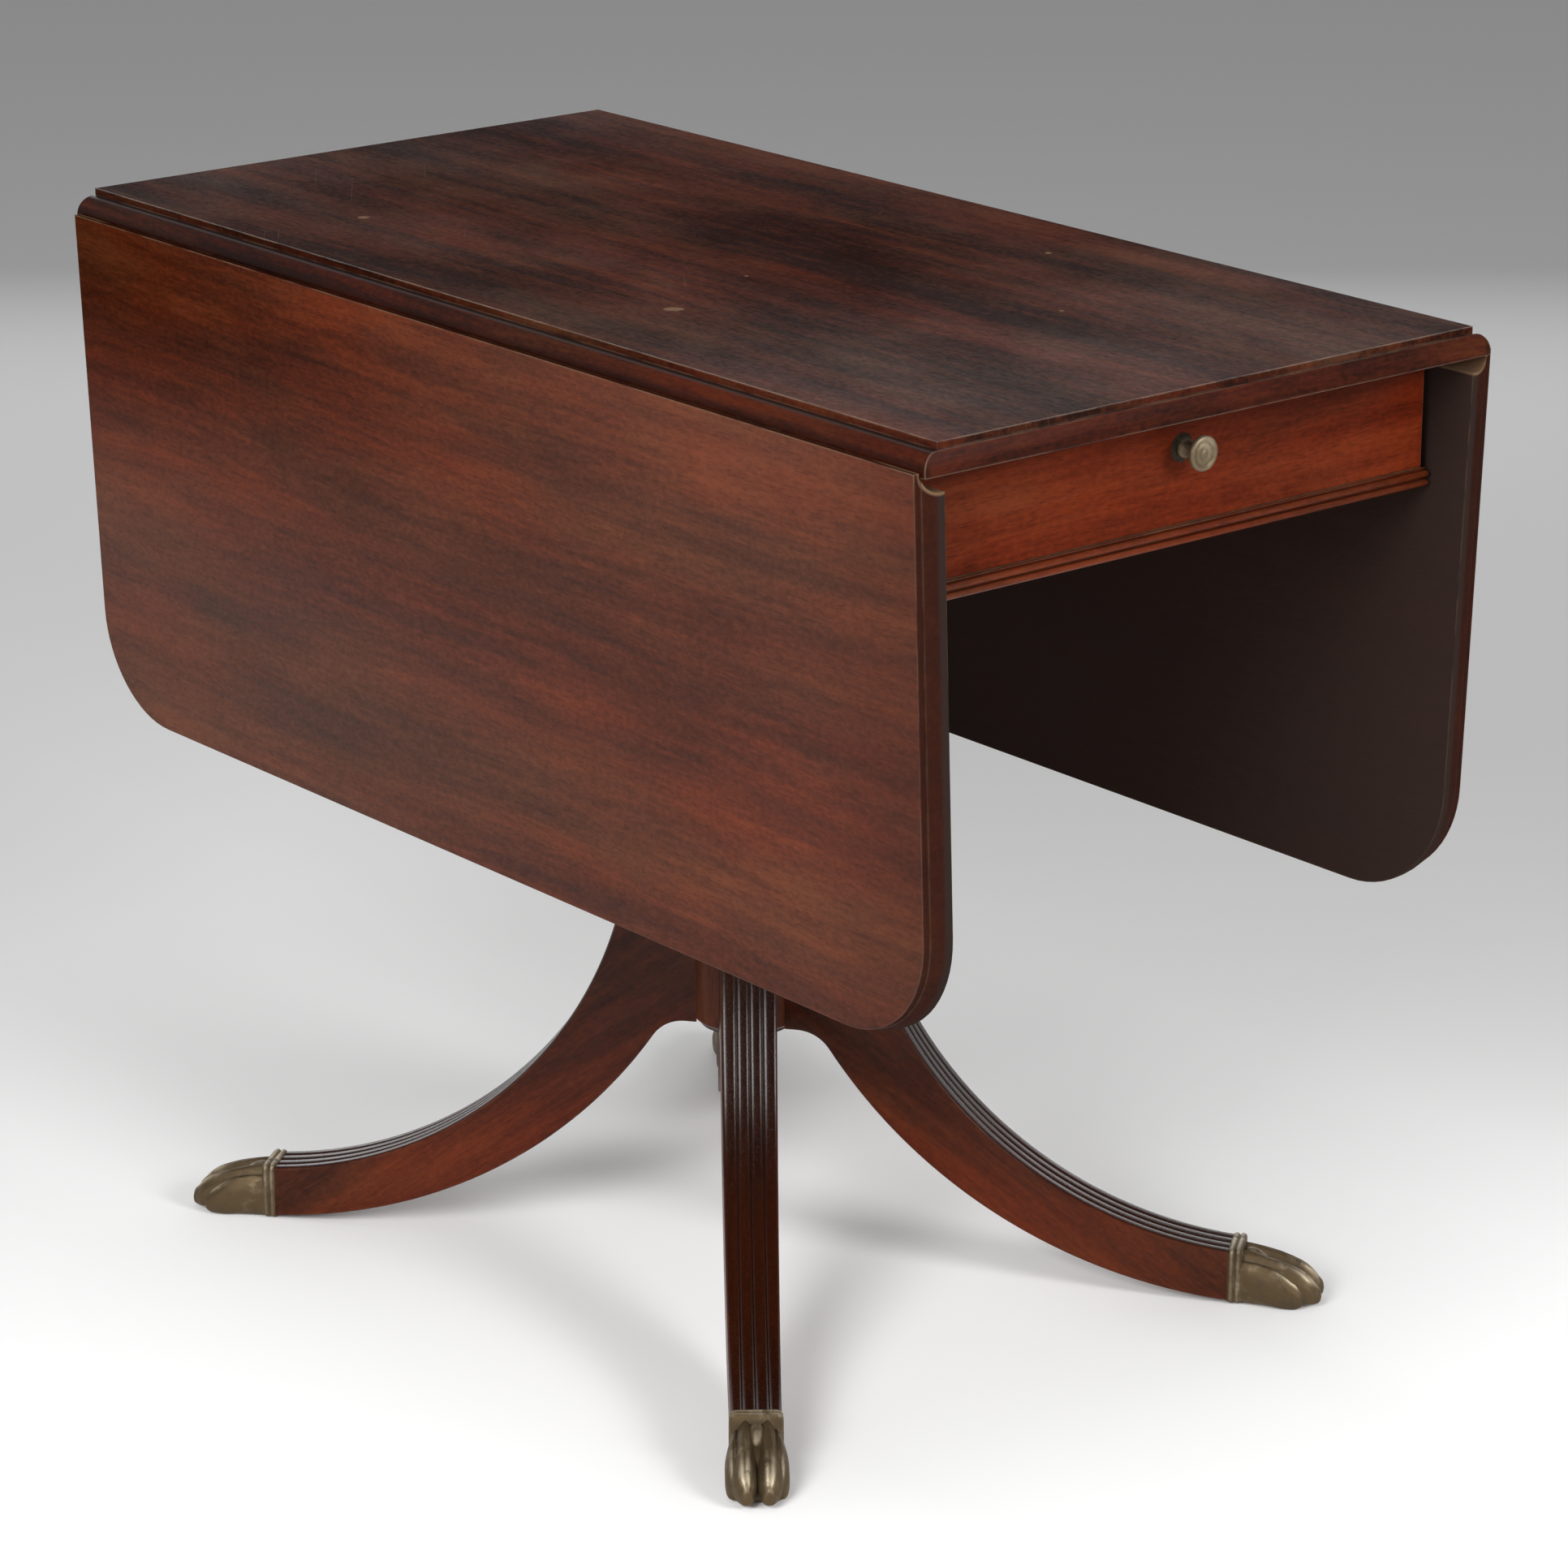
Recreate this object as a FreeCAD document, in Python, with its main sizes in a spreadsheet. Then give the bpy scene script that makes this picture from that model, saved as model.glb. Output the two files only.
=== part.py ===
"""Drop-leaf pedestal table as a parametric assembly, in millimetres, +Z up.

The origin is on the floor under the table's centre. X runs along the hinge lines, with the drawer
at +X. The near leaf hangs at -Y and the far leaf at +Y. The most skilled feature is the rule joint:
the top's quarter-round, the leaf's cove and the hinge pin all share one axis.
"""
import FreeCAD, Part
import math
import os

import Sketcher
from FreeCAD import Placement, Rotation, Vector

SIZES = {
    # Top and leaves
    "top_height": 738,
    "field_length": 920,
    "field_width": 455,
    "board_thick": 20,
    "rule_radius": 12,
    "rule_ledge": 1,
    "rule_gap": 0.8,
    "step_gap": 0.5,
    "thumb_width": 3.5,
    "leaf_drop": 376,
    "leaf_corner": 80,
    "leaf_lean_angle": 2.1,
    # Table hinges
    "barrel_radius": 3,
    "hinge_pin_radius": 1.5,
    "pin_fit": 0.05,
    "hinge_width": 42,
    "hinge_offset": 310,
    "plate_thick": 2,
    "fixed_plate_reach": 36,
    "leaf_plate_reach": 64,
    "plate_cutback": 4,
    "knuckle_gap": 0.3,
    "knuckle_count": 3,
    "slot_gap": 0.5,
    # Countersunk screws
    "screw_radius": 1.6,
    "screw_head_radius": 3.2,
    "screw_head_height": 1.4,
    "hinge_screw_length": 13,
    "hinge_screw_spread": 22,
    "leaf_screw_inset": 30,
    "plate_margin": 11,
    "frame_screw_radius": 2.2,
    "frame_screw_head_radius": 4.4,
    "frame_screw_head_height": 3,
    "top_screw_bite": 12,
    "cleat_screw_bite": 8,
    "screw_fit": 0.05,
    # Apron frame
    "end_inset": 29,
    "side_inset": 13.5,
    "apron_height": 89.5,
    "base_thick": 12,
    "rail_thick": 18,
    "kicker_height": 10,
    "kicker_width": 14,
    "kicker_screw_spread": 280,
    "moulding_depth": 4,
    "bead_root": 2.2,
    "quirk_root": 1.1,
    "bead_share": 0.38,
    "quirk_share": 0.10,
    # Leaf brackets
    "bracket_span": 150,
    "notch_rail": 27,
    "bracket_gap": 0.4,
    "bracket_pin_radius": 4,
    "bracket_pin_seat": 10,
    "notch_gap": 2,
    "bracket_waist_share": 0.5,
    "bracket_tip_share": 0.92,
    "bracket_lift_share": 0.62,
    "bracket_curve_share": 0.7,
    # Drawer
    "front_thick": 18,
    "drawer_gap": 0.6,
    "drawer_length": 380,
    "drawer_side_thick": 11,
    "side_clearance": 7,
    "drawer_bottom_thick": 5,
    "groove_depth": 5,
    "groove_rise": 8,
    "stop_length": 12,
    "stop_width": 60,
    "stop_height": 16,
    # Drawer knob
    "knob_radius": 11.5,
    "knob_reach": 19,
    "knob_drop": 27,
    "rosette_radius": 9.5,
    "rosette_thick": 2,
    "rosette_curve_share": 1.5,
    "knob_bolt_radius": 2.2,
    "knob_bolt_head_radius": 5,
    "knob_bolt_head_thick": 3,
    "knob_bolt_seat": 9,
    # Pedestal
    "cleat_length": 320,
    "cleat_width": 250,
    "cleat_thick": 22,
    "cleat_bevel": 8,
    "cleat_screw_spread": 230,
    "tenon_radius": 22,
    "column_radius": 54,
    "hub_radius": 38,
    "hub_bottom": 183,
    "hub_lip": 15,
    "hub_chamfer": 3,
    "dovetail_depth": 14,
    "dovetail_root": 16,
    "dovetail_flare": 22,
    "dovetail_drop": 18,
    "dovetail_fit": 0.1,
    "hub_plate_radius": 33,
    "hub_plate_thick": 2.5,
    "hub_screw_circle": 26,
    # Sabre legs
    "leg_plan_angle": 38.1,
    "sabre_reach": 377,
    "knee_inset": 80,
    "sabre_upper_rise": 40,
    "sole_inset": 2,
    "sabre_lower_rise": 2,
    "leg_heel_radius": 28,
    "leg_knee_radius": 40,
    "knee_fall": 52,
    "leg_head_width": 41,
    "leg_ankle_width": 33.6,
    "ankle_setback": 25,
    "reed_width": 9,
    "reed_depth": 2.2,
    "reed_sink": 0.3,
    "ankle_tenon_width": 22,
    "ankle_tenon_height": 24,
    "ankle_tenon_rise": 10,
    "ankle_tenon_length": 20,
    "tenon_fit": 0.2,
    # Brass paw toe caps
    "cap_length": 66,
    "cap_width": 42.4,
    "collar_length": 9,
    "collar_lip": 0.9,
    "collar_bulge": 1.3,
    "paw_height": 37.5,
    # One overrun for all cuts
    "overrun": 5,
}

# Places worked out from the sizes; each formula may use the ones above it.
PLACES = {
    "underside": "sizes.top_height - sizes.board_thick",
    "axis_z": "underside + sizes.barrel_radius",
    "axis_y": "sizes.field_width / 2 + sizes.rule_ledge",
    "ledge_z": "axis_z + sizes.rule_radius",
    "edge_y": "axis_y + sizes.rule_radius",
    "field_end": "sizes.field_length / 2",
    "ledge_end": "field_end + sizes.rule_ledge",
    "top_end": "ledge_end + sizes.thumb_width",
    "thumb_height": "ledge_z - underside",
    "thumb_radius": "(sizes.thumb_width ^ 2 + thumb_height ^ 2) / (2 * sizes.thumb_width)",
    "cove_radius": "sizes.rule_radius + sizes.rule_gap",
    "leaf_low": "-sizes.barrel_radius",
    "leaf_step": "sizes.rule_radius",
    "leaf_face_drop": "sizes.leaf_drop - sizes.rule_ledge - sizes.thumb_width",
    "leaf_face_corner": "sizes.leaf_corner - sizes.rule_ledge - sizes.thumb_width",
    "leaf_start": "sizes.step_gap - sizes.rule_ledge",
    "barrel_bore": "sizes.hinge_pin_radius + sizes.pin_fit",
    "knuckle_end": "sizes.hinge_width / sizes.knuckle_count / 2",
    "fixed_screw_row": "sizes.fixed_plate_reach - sizes.plate_margin",
    "leaf_screw_row": "sizes.leaf_plate_reach - sizes.plate_margin",
    "slot_half": "sizes.barrel_radius + sizes.slot_gap",
    "screw_bore": "sizes.screw_radius + sizes.screw_fit",
    "screw_head_bore": "sizes.screw_head_radius + sizes.screw_fit",
    "frame_screw_bore": "sizes.frame_screw_radius + sizes.screw_fit",
    "frame_screw_head_bore": "sizes.frame_screw_head_radius + sizes.screw_fit",
    "base_bottom": "underside - sizes.apron_height",
    "base_top": "base_bottom + sizes.base_thick",
    "apron_end": "field_end - sizes.end_inset",
    "apron_side": "axis_y - sizes.side_inset",
    "rail_joint": "apron_side - sizes.rail_thick",
    "rail_inside": "rail_joint - sizes.rail_thick",
    "front_back": "apron_end - sizes.front_thick",
    "rail_front": "front_back - sizes.drawer_gap",
    "bead_step": "sizes.base_thick * sizes.bead_share",
    "quirk_step": "sizes.base_thick * sizes.quirk_share",
    "bead_bulge": "sizes.moulding_depth - sizes.bead_root",
    "bead_radius": "(bead_step ^ 2 / 4 + bead_bulge ^ 2) / (2 * bead_bulge)",
    "notch_half": "sizes.bracket_span / 2 + sizes.notch_gap",
    "bracket_thick": "sizes.rail_thick - sizes.bracket_gap",
    "notch_floor": "base_top + sizes.notch_rail",
    "bracket_low": "notch_floor + sizes.bracket_gap",
    "bracket_height": "underside - sizes.bracket_gap - bracket_low",
    "pivot_x": "bracket_thick / 2 - sizes.bracket_span / 2",
    "pivot_y": "apron_side - bracket_thick / 2",
    "bracket_arm": "sizes.bracket_span - bracket_thick / 2",
    "drawer_low": "base_top + sizes.drawer_gap",
    "drawer_side": "rail_inside - sizes.drawer_gap",
    "drawer_inside": "drawer_side - sizes.drawer_side_thick",
    "kicker_low": "underside - sizes.kicker_height",
    "drawer_high": "kicker_low - sizes.side_clearance",
    "drawer_back": "front_back - sizes.drawer_length",
    "groove_low": "drawer_low + sizes.groove_rise",
    "groove_high": "groove_low + sizes.drawer_bottom_thick",
    "front_high": "underside - sizes.drawer_gap",
    "knob_z": "front_high - sizes.knob_drop",
    "knob_start": "apron_end + sizes.rosette_thick",
    "knob_bolt_bore": "sizes.knob_bolt_radius + sizes.screw_fit",
    "cleat_bottom": "base_bottom - sizes.cleat_thick",
    "upper_radius": "sizes.sabre_reach - sizes.knee_inset",
    "lower_radius": "sizes.sabre_reach - sizes.sole_inset",
    "upper_centre": "sizes.sabre_upper_rise + upper_radius",
    "lower_centre": "sizes.sabre_lower_rise + lower_radius",
    "heel_sum": "lower_radius + sizes.leg_heel_radius",
    "heel_drop": "lower_centre - sizes.hub_bottom + sizes.leg_heel_radius",
    "heel_start": "sizes.sabre_reach - sqrt(heel_sum ^ 2 - heel_drop ^ 2)",
    "heel_ratio": "sizes.leg_heel_radius / heel_sum",
    "heel_end_x": "heel_start + (sizes.sabre_reach - heel_start) * heel_ratio",
    "heel_end_z": "sizes.hub_bottom - sizes.leg_heel_radius + heel_drop * heel_ratio",
    "ankle_reach": "sizes.sabre_reach - sizes.ankle_setback",
    "ankle_low": "lower_centre - sqrt(lower_radius ^ 2 - sizes.ankle_setback ^ 2)",
    "ankle_high": "upper_centre - sqrt(upper_radius ^ 2 - sizes.ankle_setback ^ 2)",
    "knee_z": "upper_centre - sizes.knee_fall",
    "knee_run": "sqrt(upper_radius ^ 2 - sizes.knee_fall ^ 2)",
    "knee_x": "sizes.sabre_reach - knee_run",
    "knee_ratio": "1 + sizes.leg_knee_radius / upper_radius",
    "head_x": "sizes.sabre_reach - knee_run * knee_ratio",
    "head_z": "upper_centre - sizes.knee_fall * knee_ratio + sizes.leg_knee_radius",
    "leg_inner": "sizes.hub_radius / 2",
    "hub_top": "head_z + sizes.hub_lip",
    "turned_height": "cleat_bottom - hub_top",
    "reed_radius": "(sizes.reed_width ^ 2 / 4 + sizes.reed_depth ^ 2) / (2 * sizes.reed_depth)",
    "reed_edge": "sizes.leg_head_width / 2",
    "side_reed_width": "reed_edge - sizes.reed_width",
    "side_reed_radius": "(side_reed_width ^ 2 / 4 + sizes.reed_depth ^ 2) / (2 * sizes.reed_depth)",
    "reed_floor": "sizes.sabre_upper_rise - sizes.reed_sink - sizes.reed_depth",
    "reed_lid": "sizes.sabre_upper_rise + sizes.overrun",
    "dovetail_inner": "sizes.hub_radius - sizes.dovetail_depth",
    "dovetail_height": "head_z - sizes.dovetail_drop - sizes.hub_bottom",
    "cap_end": "ankle_reach + sizes.cap_length",
    "collar_end": "ankle_reach + sizes.collar_length",
    "collar_middle": "ankle_reach + sizes.collar_length / 2",
    "collar_side": "sizes.leg_ankle_width / 2 + sizes.collar_lip",
    "collar_height": "ankle_high + sizes.collar_bulge",
    "collar_bead_radius": "(sizes.collar_length ^ 2 / 16 + sizes.collar_bulge ^ 2) / (2 * sizes.collar_bulge)",
}

# The column's turning above the hub: share of the turned height, share of the column radius and,
# for a round stretch up to the next point, its radius as a share of the stretch and its bend.
TURNING_SHARES = [
    (0.000, 0.86, None, 0),
    (0.016, 0.95, 0.60, 1),
    (0.066, 0.95, None, 0),
    (0.082, 0.74, 0.85, -1),
    (0.150, 0.56, None, 0),
    (0.166, 0.56, 0.78, 1),
    (0.350, 1.00, 2.60, 1),
    (0.430, 0.92, 2.90, -1),
    (0.790, 0.45, None, 0),
    (0.806, 0.57, 0.62, 1),
    (0.850, 0.57, None, 0),
    (0.866, 0.47, 1.10, -1),
    (0.960, 0.78, None, 0),
    (1.000, 0.78, None, 0),
]

# The knob's turning: share of its reach and share of its radius, from the rosette to the face.
KNOB_SHARES = [
    (0.00, 0.55),
    (0.12, 0.55),
    (0.20, 0.40),
    (0.50, 0.36),
    (0.70, 0.60),
    (0.80, 0.95),
    (0.86, 1.00),
    (0.94, 1.00),
    (1.00, 0.92),
    (1.00, 0.74),
    (0.96, 0.68),
    (0.96, 0.60),
    (1.00, 0.54),
    (1.00, 0.22),
    (0.98, 0.00),
]

# The paw's plan, from the collar to the middle of the toes: share of the cap's length and of its
# half width. The two toes on each side are round between the last points, by shares of its width.
PAW_SHARES = [(0.62, 1.00), (0.84, 0.71), (0.962, 0.00)]
OUTER_TOE_SHARE = 0.27
INNER_TOE_SHARE = 0.215
# The paw's profile, as shares of the cap's length and of the paw's height: the knuckles, the tips of
# the toes and the end of the sole, then how round the toes are above and below the tips.
KNUCKLE_SHARES = (0.62, 0.94)
TIP_SHARES = (1.00, 0.23)
SOLE_SHARES = (0.78, 0.00)
TOE_ROUND_SHARES = (0.72, 0.56)

LEGS = {"front": (1, -1), "left": (-1, -1), "right": (1, 1), "rear": (-1, 1)}
SIDES = {"near": -1, "far": 1}
HINGE_ENDS = {"a": 1, "b": -1}

doc = FreeCAD.newDocument("drop_leaf_table")
pieces = []
cuts = []


def fill_sheet(name, cells):
    """Write a sheet of named cells, one per row."""
    sheet = doc.addObject("Spreadsheet::Sheet", name)
    for row, (alias, text) in enumerate(cells.items(), start=1):
        sheet.set(f"A{row}", alias)
        sheet.set(f"B{row}", text)
        sheet.setAlias(f"B{row}", alias)
    doc.recompute()
    return sheet


sizes = fill_sheet("sizes", {alias: str(value) for alias, value in SIZES.items()})
places = fill_sheet("places", {alias: "=" + formula for alias, formula in PLACES.items()})


def number(expression):
    """Work out an expression on the two sheets."""
    return float(sizes.evalExpression(expression))


def place(piece, corner=("0", "0", "0"), turn=None):
    """Turn a piece, then move its origin to a corner given as three expressions."""
    piece.Placement = Placement(Vector(), turn or Rotation())
    for axis, expression in zip("xyz", corner):
        piece.setExpression(f"Placement.Base.{axis}", expression)
    return piece


def new_body(label):
    """Start a sub-part as a body."""
    body = doc.addObject("PartDesign::Body", label)
    pieces.append(body)
    return body


def board(label, size, corner):
    """A plain rectangular board, from its sizes and its low corner."""
    box = doc.addObject("Part::Box", label)
    for name, expression in zip(("Length", "Width", "Height"), size):
        box.setExpression(name, expression)
    pieces.append(box)
    return place(box, corner)


def rod(label, radius, length, corner, turn=None):
    """A plain round rod along its own Z axis."""
    cylinder = doc.addObject("Part::Cylinder", label)
    cylinder.setExpression("Radius", radius)
    cylinder.setExpression("Height", length)
    pieces.append(cylinder)
    return place(cylinder, corner, turn)


def new_sketch(body, role, lift="0"):
    """Start a sketch on one of the body's own origin planes, lifted along the plane's normal."""
    plane = next(feature for feature in body.Origin.OriginFeatures if feature.Role == role)
    sketch = body.newObject("Sketcher::SketchObject", body.Name + "_sketch")
    sketch.AttachmentSupport = [(plane, "")]
    sketch.MapMode = "FlatFace"
    sketch.setExpression("AttachmentOffset.Base.z", lift)
    return sketch


def constrain(sketch, constraint, expression):
    """Add a dimension to a sketch and bind it to an expression."""
    index = sketch.addConstraint(constraint)
    sketch.setExpression(f"Constraints[{index}]", expression)


def fix_point(sketch, edge, end, corner):
    """Hold one end of a sketch edge at a corner, a pair of expressions."""
    for kind, expression in zip(("DistanceX", "DistanceY"), corner):
        constrain(sketch, Sketcher.Constraint(kind, -1, 1, edge, end, number(expression)), expression)


def arc_edge(start, end, radius, bend):
    """A round edge under a half circle; a bend of 1 keeps its centre on the left, -1 on the right."""
    chord = end.sub(start)
    middle = start.add(end).multiply(0.5)
    left = Vector(-chord.y, chord.x, 0).normalize()
    centre = middle.add(left.multiply(bend * math.sqrt(radius ** 2 - chord.Length ** 2 / 4)))
    first, last = (start, end) if bend > 0 else (end, start)
    angles = [math.atan2(point.y - centre.y, point.x - centre.x) for point in (first, last)]
    return Part.ArcOfCircle(Part.Circle(centre, Vector(0, 0, 1), radius), *angles)


def draw(sketch, corners, arcs=None, closed=True):
    """Draw edges from corner to corner; arcs gives (radius, bend) by the number of a round edge."""
    arcs = arcs or {}
    points = [Vector(number(x), number(y), 0) for x, y in corners]
    count = len(points) if closed else len(points) - 1
    ends = []
    for step in range(count):
        start = points[step]
        end = points[(step + 1) % len(points)]
        if step in arcs:
            radius, bend = arcs[step]
            edge = sketch.addGeometry(arc_edge(start, end, number(radius), bend))
            constrain(sketch, Sketcher.Constraint("Radius", edge, number(radius)), radius)
            ends.append((edge, 1, 2) if bend > 0 else (edge, 2, 1))
        else:
            ends.append((sketch.addGeometry(Part.LineSegment(start, end)), 1, 2))
        fix_point(sketch, ends[-1][0], ends[-1][1], corners[step])
    if not closed:
        fix_point(sketch, ends[-1][0], ends[-1][2], corners[-1])
    joints = list(zip(ends, ends[1:] + ends[:1]))
    for before, after in joints if closed else joints[:-1]:
        sketch.addConstraint(Sketcher.Constraint("Coincident", before[0], before[2], after[0], after[1]))
    return sketch


def draw_box(sketch, low, high):
    """Draw a rectangle from its low and high corners."""
    return draw(sketch, [low, (high[0], low[1]), high, (low[0], high[1])])


def draw_circles(sketch, centres, radius):
    """Draw circles of one radius."""
    for centre in centres:
        middle = Vector(number(centre[0]), number(centre[1]), 0)
        circle = sketch.addGeometry(Part.Circle(middle, Vector(0, 0, 1), number(radius)))
        fix_point(sketch, circle, 3, centre)
        constrain(sketch, Sketcher.Constraint("Radius", circle, number(radius)), radius)
    return sketch


def pad(body, sketch, length, symmetric=False):
    """Raise a sketch along its normal, or to both sides of its plane."""
    feature = body.newObject("PartDesign::Pad", body.Name + "_pad")
    feature.Profile = sketch
    feature.setExpression("Length", length)
    feature.SideType = "Symmetric" if symmetric else "One side"
    return feature


def pocket(body, sketch, depth=None, along=False):
    """Cut a sketch against its normal, or along it; with no depth it cuts right through both ways."""
    feature = body.newObject("PartDesign::Pocket", body.Name + "_pocket")
    feature.Profile = sketch
    feature.Reversed = along
    if depth is None:
        feature.Type = "ThroughAll"
        feature.SideType = "Symmetric"
    else:
        feature.setExpression("Length", depth)
    cuts.append(feature)
    return feature


def mirrored(points):
    """The same outline on the other side of the sketch's vertical axis, drawn the same way round."""
    return [(f"-({x})", y) for x, y in reversed(points)]


def mirrored_arcs(arcs, count):
    """The round edges of a mirrored outline."""
    return {(count - 2 - step) % count: arc for step, arc in arcs.items()}


def screws(label, spots, radius, head_radius, head_height, length, turn=None, origin=None):
    """A group of countersunk screws: heads at the spots, shanks along local +Z."""
    shank = number(radius)
    head = number(head_height)
    solids = []
    for spot in spots:
        base = Vector(*(number(expression) for expression in spot))
        cone = Part.makeCone(number(head_radius), shank, head, base)
        core = Part.makeCylinder(shank, number(length) - head, base + Vector(0, 0, head))
        solids.append(cone.fuse(core).removeSplitter())
    group = doc.addObject("Part::Feature", label)
    group.Shape = Part.makeCompound(solids)
    pieces.append(group)
    return place(group, origin or ("0", "0", "0"), turn)


def hinge_spots(row):
    """Screw places on one hinge plate, seen from the hinge's middle: two in the first row."""
    half = "sizes.hinge_screw_spread / 2"
    return [(f"-{half}", row), (half, row)]


def leaf_screw_spots():
    """Screw places on a leaf plate: two near the pin and one beyond them."""
    return hinge_spots("sizes.leaf_screw_inset") + [("0", "places.leaf_screw_row")]


def shifted(spots, move):
    """The same places moved along the sketch's first axis."""
    return [(f"{move} + {x}", y) for x, y in spots]


def hinge_move(end):
    """How far along the table a hinge sits."""
    return f"{HINGE_ENDS[end]} * sizes.hinge_offset"


def centre_top():
    """Fixed top: rule-joint quarter-rounds on the long sides, thumb mouldings on the ends."""
    body = new_body("centre_top")
    right = [
        ("places.edge_y", "places.underside"),
        ("places.edge_y", "places.axis_z"),
        ("places.axis_y", "places.ledge_z"),
        ("sizes.field_width / 2", "places.ledge_z"),
        ("sizes.field_width / 2", "sizes.top_height"),
    ]
    arcs = {1: ("sizes.rule_radius", 1), 7: ("sizes.rule_radius", 1)}
    section = draw(new_sketch(body, "YZ_Plane"), right + mirrored(right), arcs)
    pad(body, section, "2 * places.top_end", symmetric=True)

    waste = [
        ("places.field_end", "sizes.top_height + sizes.overrun"),
        ("places.field_end", "places.ledge_z"),
        ("places.ledge_end", "places.ledge_z"),
        ("places.top_end", "places.underside"),
        ("places.top_end + sizes.overrun", "places.underside"),
        ("places.top_end + sizes.overrun", "sizes.top_height + sizes.overrun"),
    ]
    arcs = {2: ("places.thumb_radius", -1)}
    ends = new_sketch(body, "XZ_Plane")
    draw(ends, waste, arcs)
    draw(ends, mirrored(waste), mirrored_arcs(arcs, len(waste)))
    pocket(body, ends)

    half = "sizes.hinge_width / 2 + sizes.knuckle_gap"
    strips = [
        ("places.axis_y - sizes.fixed_plate_reach", "places.axis_y - places.slot_half", "sizes.plate_thick"),
        ("places.axis_y - places.slot_half", "places.axis_y + places.slot_half",
         "2 * sizes.barrel_radius + sizes.slot_gap"),
        ("places.axis_y + places.slot_half", "places.edge_y + sizes.overrun",
         "sizes.plate_thick + sizes.slot_gap"),
    ]
    for inner, outer, depth in strips:
        recess = new_sketch(body, "XY_Plane", "places.underside")
        for end in HINGE_ENDS:
            low = f"{hinge_move(end)} - ({half})"
            high = f"{hinge_move(end)} + {half}"
            draw_box(recess, (low, inner), (high, outer))
            draw_box(recess, (low, f"-({outer})"), (high, f"-({inner})"))
        pocket(body, recess, depth, along=True)

    row = "places.axis_y - places.fixed_screw_row"
    pilots = new_sketch(body, "XY_Plane", "places.underside")
    for end in HINGE_ENDS:
        for sign in SIDES.values():
            spots = shifted(hinge_spots(f"{sign} * ({row})"), hinge_move(end))
            draw_circles(pilots, spots, "places.screw_bore")
    pocket(body, pilots, "sizes.hinge_screw_length", along=True)

    kicker_pilots = new_sketch(body, "XY_Plane", "places.underside")
    draw_circles(kicker_pilots, kicker_spots(), "places.frame_screw_bore")
    pocket(body, kicker_pilots, "sizes.top_screw_bite", along=True)

    seats = new_sketch(body, "XY_Plane", "places.underside")
    for sign in SIDES.values():
        draw_circles(seats, [("places.pivot_x", f"{sign} * places.pivot_y")], "sizes.bracket_pin_radius")
    pocket(body, seats, "sizes.bracket_pin_seat", along=True)


def leaf(side):
    """One leaf, drawn flat from its hinge axis outwards, then hung at its lean."""
    body = new_body(f"leaf_board_{side}")
    right = [
        ("places.field_end", "places.leaf_start"),
        ("places.field_end", "places.leaf_face_drop - places.leaf_face_corner"),
        ("places.field_end - places.leaf_face_corner", "places.leaf_face_drop"),
    ]
    corner = ("places.leaf_face_corner", 1)
    outline = right + mirrored(right)
    rounds = {1: corner, 3: corner}
    face = draw(new_sketch(body, "XY_Plane", "places.leaf_low"), outline, rounds)
    pad(body, face, "sizes.board_thick")

    spine = draw(new_sketch(body, "XY_Plane", "places.leaf_low"), outline, rounds, closed=False)
    section = draw(
        new_sketch(body, "XZ_Plane", "-places.leaf_start"),
        [
            ("places.field_end - sizes.thumb_width", "places.leaf_low"),
            ("places.top_end", "places.leaf_low"),
            ("places.ledge_end", "places.leaf_step"),
            ("places.field_end - sizes.thumb_width", "places.leaf_step"),
        ],
        {1: ("places.thumb_radius", 1)},
    )
    moulding = body.newObject("PartDesign::AdditivePipe", body.Name + "_moulding")
    moulding.Profile = section
    moulding.Spine = spine

    edge = "places.leaf_start - sizes.overrun"
    floor = "places.leaf_low - sizes.overrun"
    cove = draw(
        new_sketch(body, "YZ_Plane"),
        [
            (edge, floor),
            ("places.cove_radius", floor),
            ("places.cove_radius", "0"),
            ("0", "places.cove_radius"),
            (edge, "places.cove_radius"),
        ],
        {2: ("places.cove_radius", 1)},
    )
    pocket(body, cove)

    recess = new_sketch(body, "XY_Plane", "places.leaf_low")
    pilots = new_sketch(body, "XY_Plane", "places.leaf_low")
    half = "sizes.hinge_width / 2"
    for end in HINGE_ENDS:
        low = (f"{hinge_move(end)} - {half}", "places.cove_radius - sizes.overrun")
        high = (f"{hinge_move(end)} + {half}", "sizes.leaf_plate_reach")
        draw_box(recess, low, high)
        draw_circles(pilots, shifted(leaf_screw_spots(), hinge_move(end)), "places.screw_bore")
    pocket(body, recess, "sizes.plate_thick", along=True)
    pocket(body, pilots, "sizes.hinge_screw_length", along=True)
    hang(body, side)


def leaf_turn(side, hanging):
    """The turn of a leaf's own frame: level for what is fixed, hanging for what swings."""
    drop = Rotation(Vector(1, 0, 0), -(90 + number("sizes.leaf_lean_angle")) if hanging else 0)
    return Rotation(Vector(0, 0, 1), 180 if side == "near" else 0) * drop


def hinge_axis(side):
    """The middle of a leaf's hinge axis."""
    return ("0", f"{SIDES[side]} * places.axis_y", "places.axis_z")


def hang(piece, side):
    """Put a piece that is drawn from the hinge axis where the hanging leaf has it."""
    place(piece, hinge_axis(side), leaf_turn(side, hanging=True))


def knuckle(body, start, length):
    """Add one barrel knuckle along the hinge axis."""
    ring = draw_circles(new_sketch(body, "YZ_Plane", start), [("0", "0")], "sizes.barrel_radius")
    pad(body, ring, length)


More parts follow.
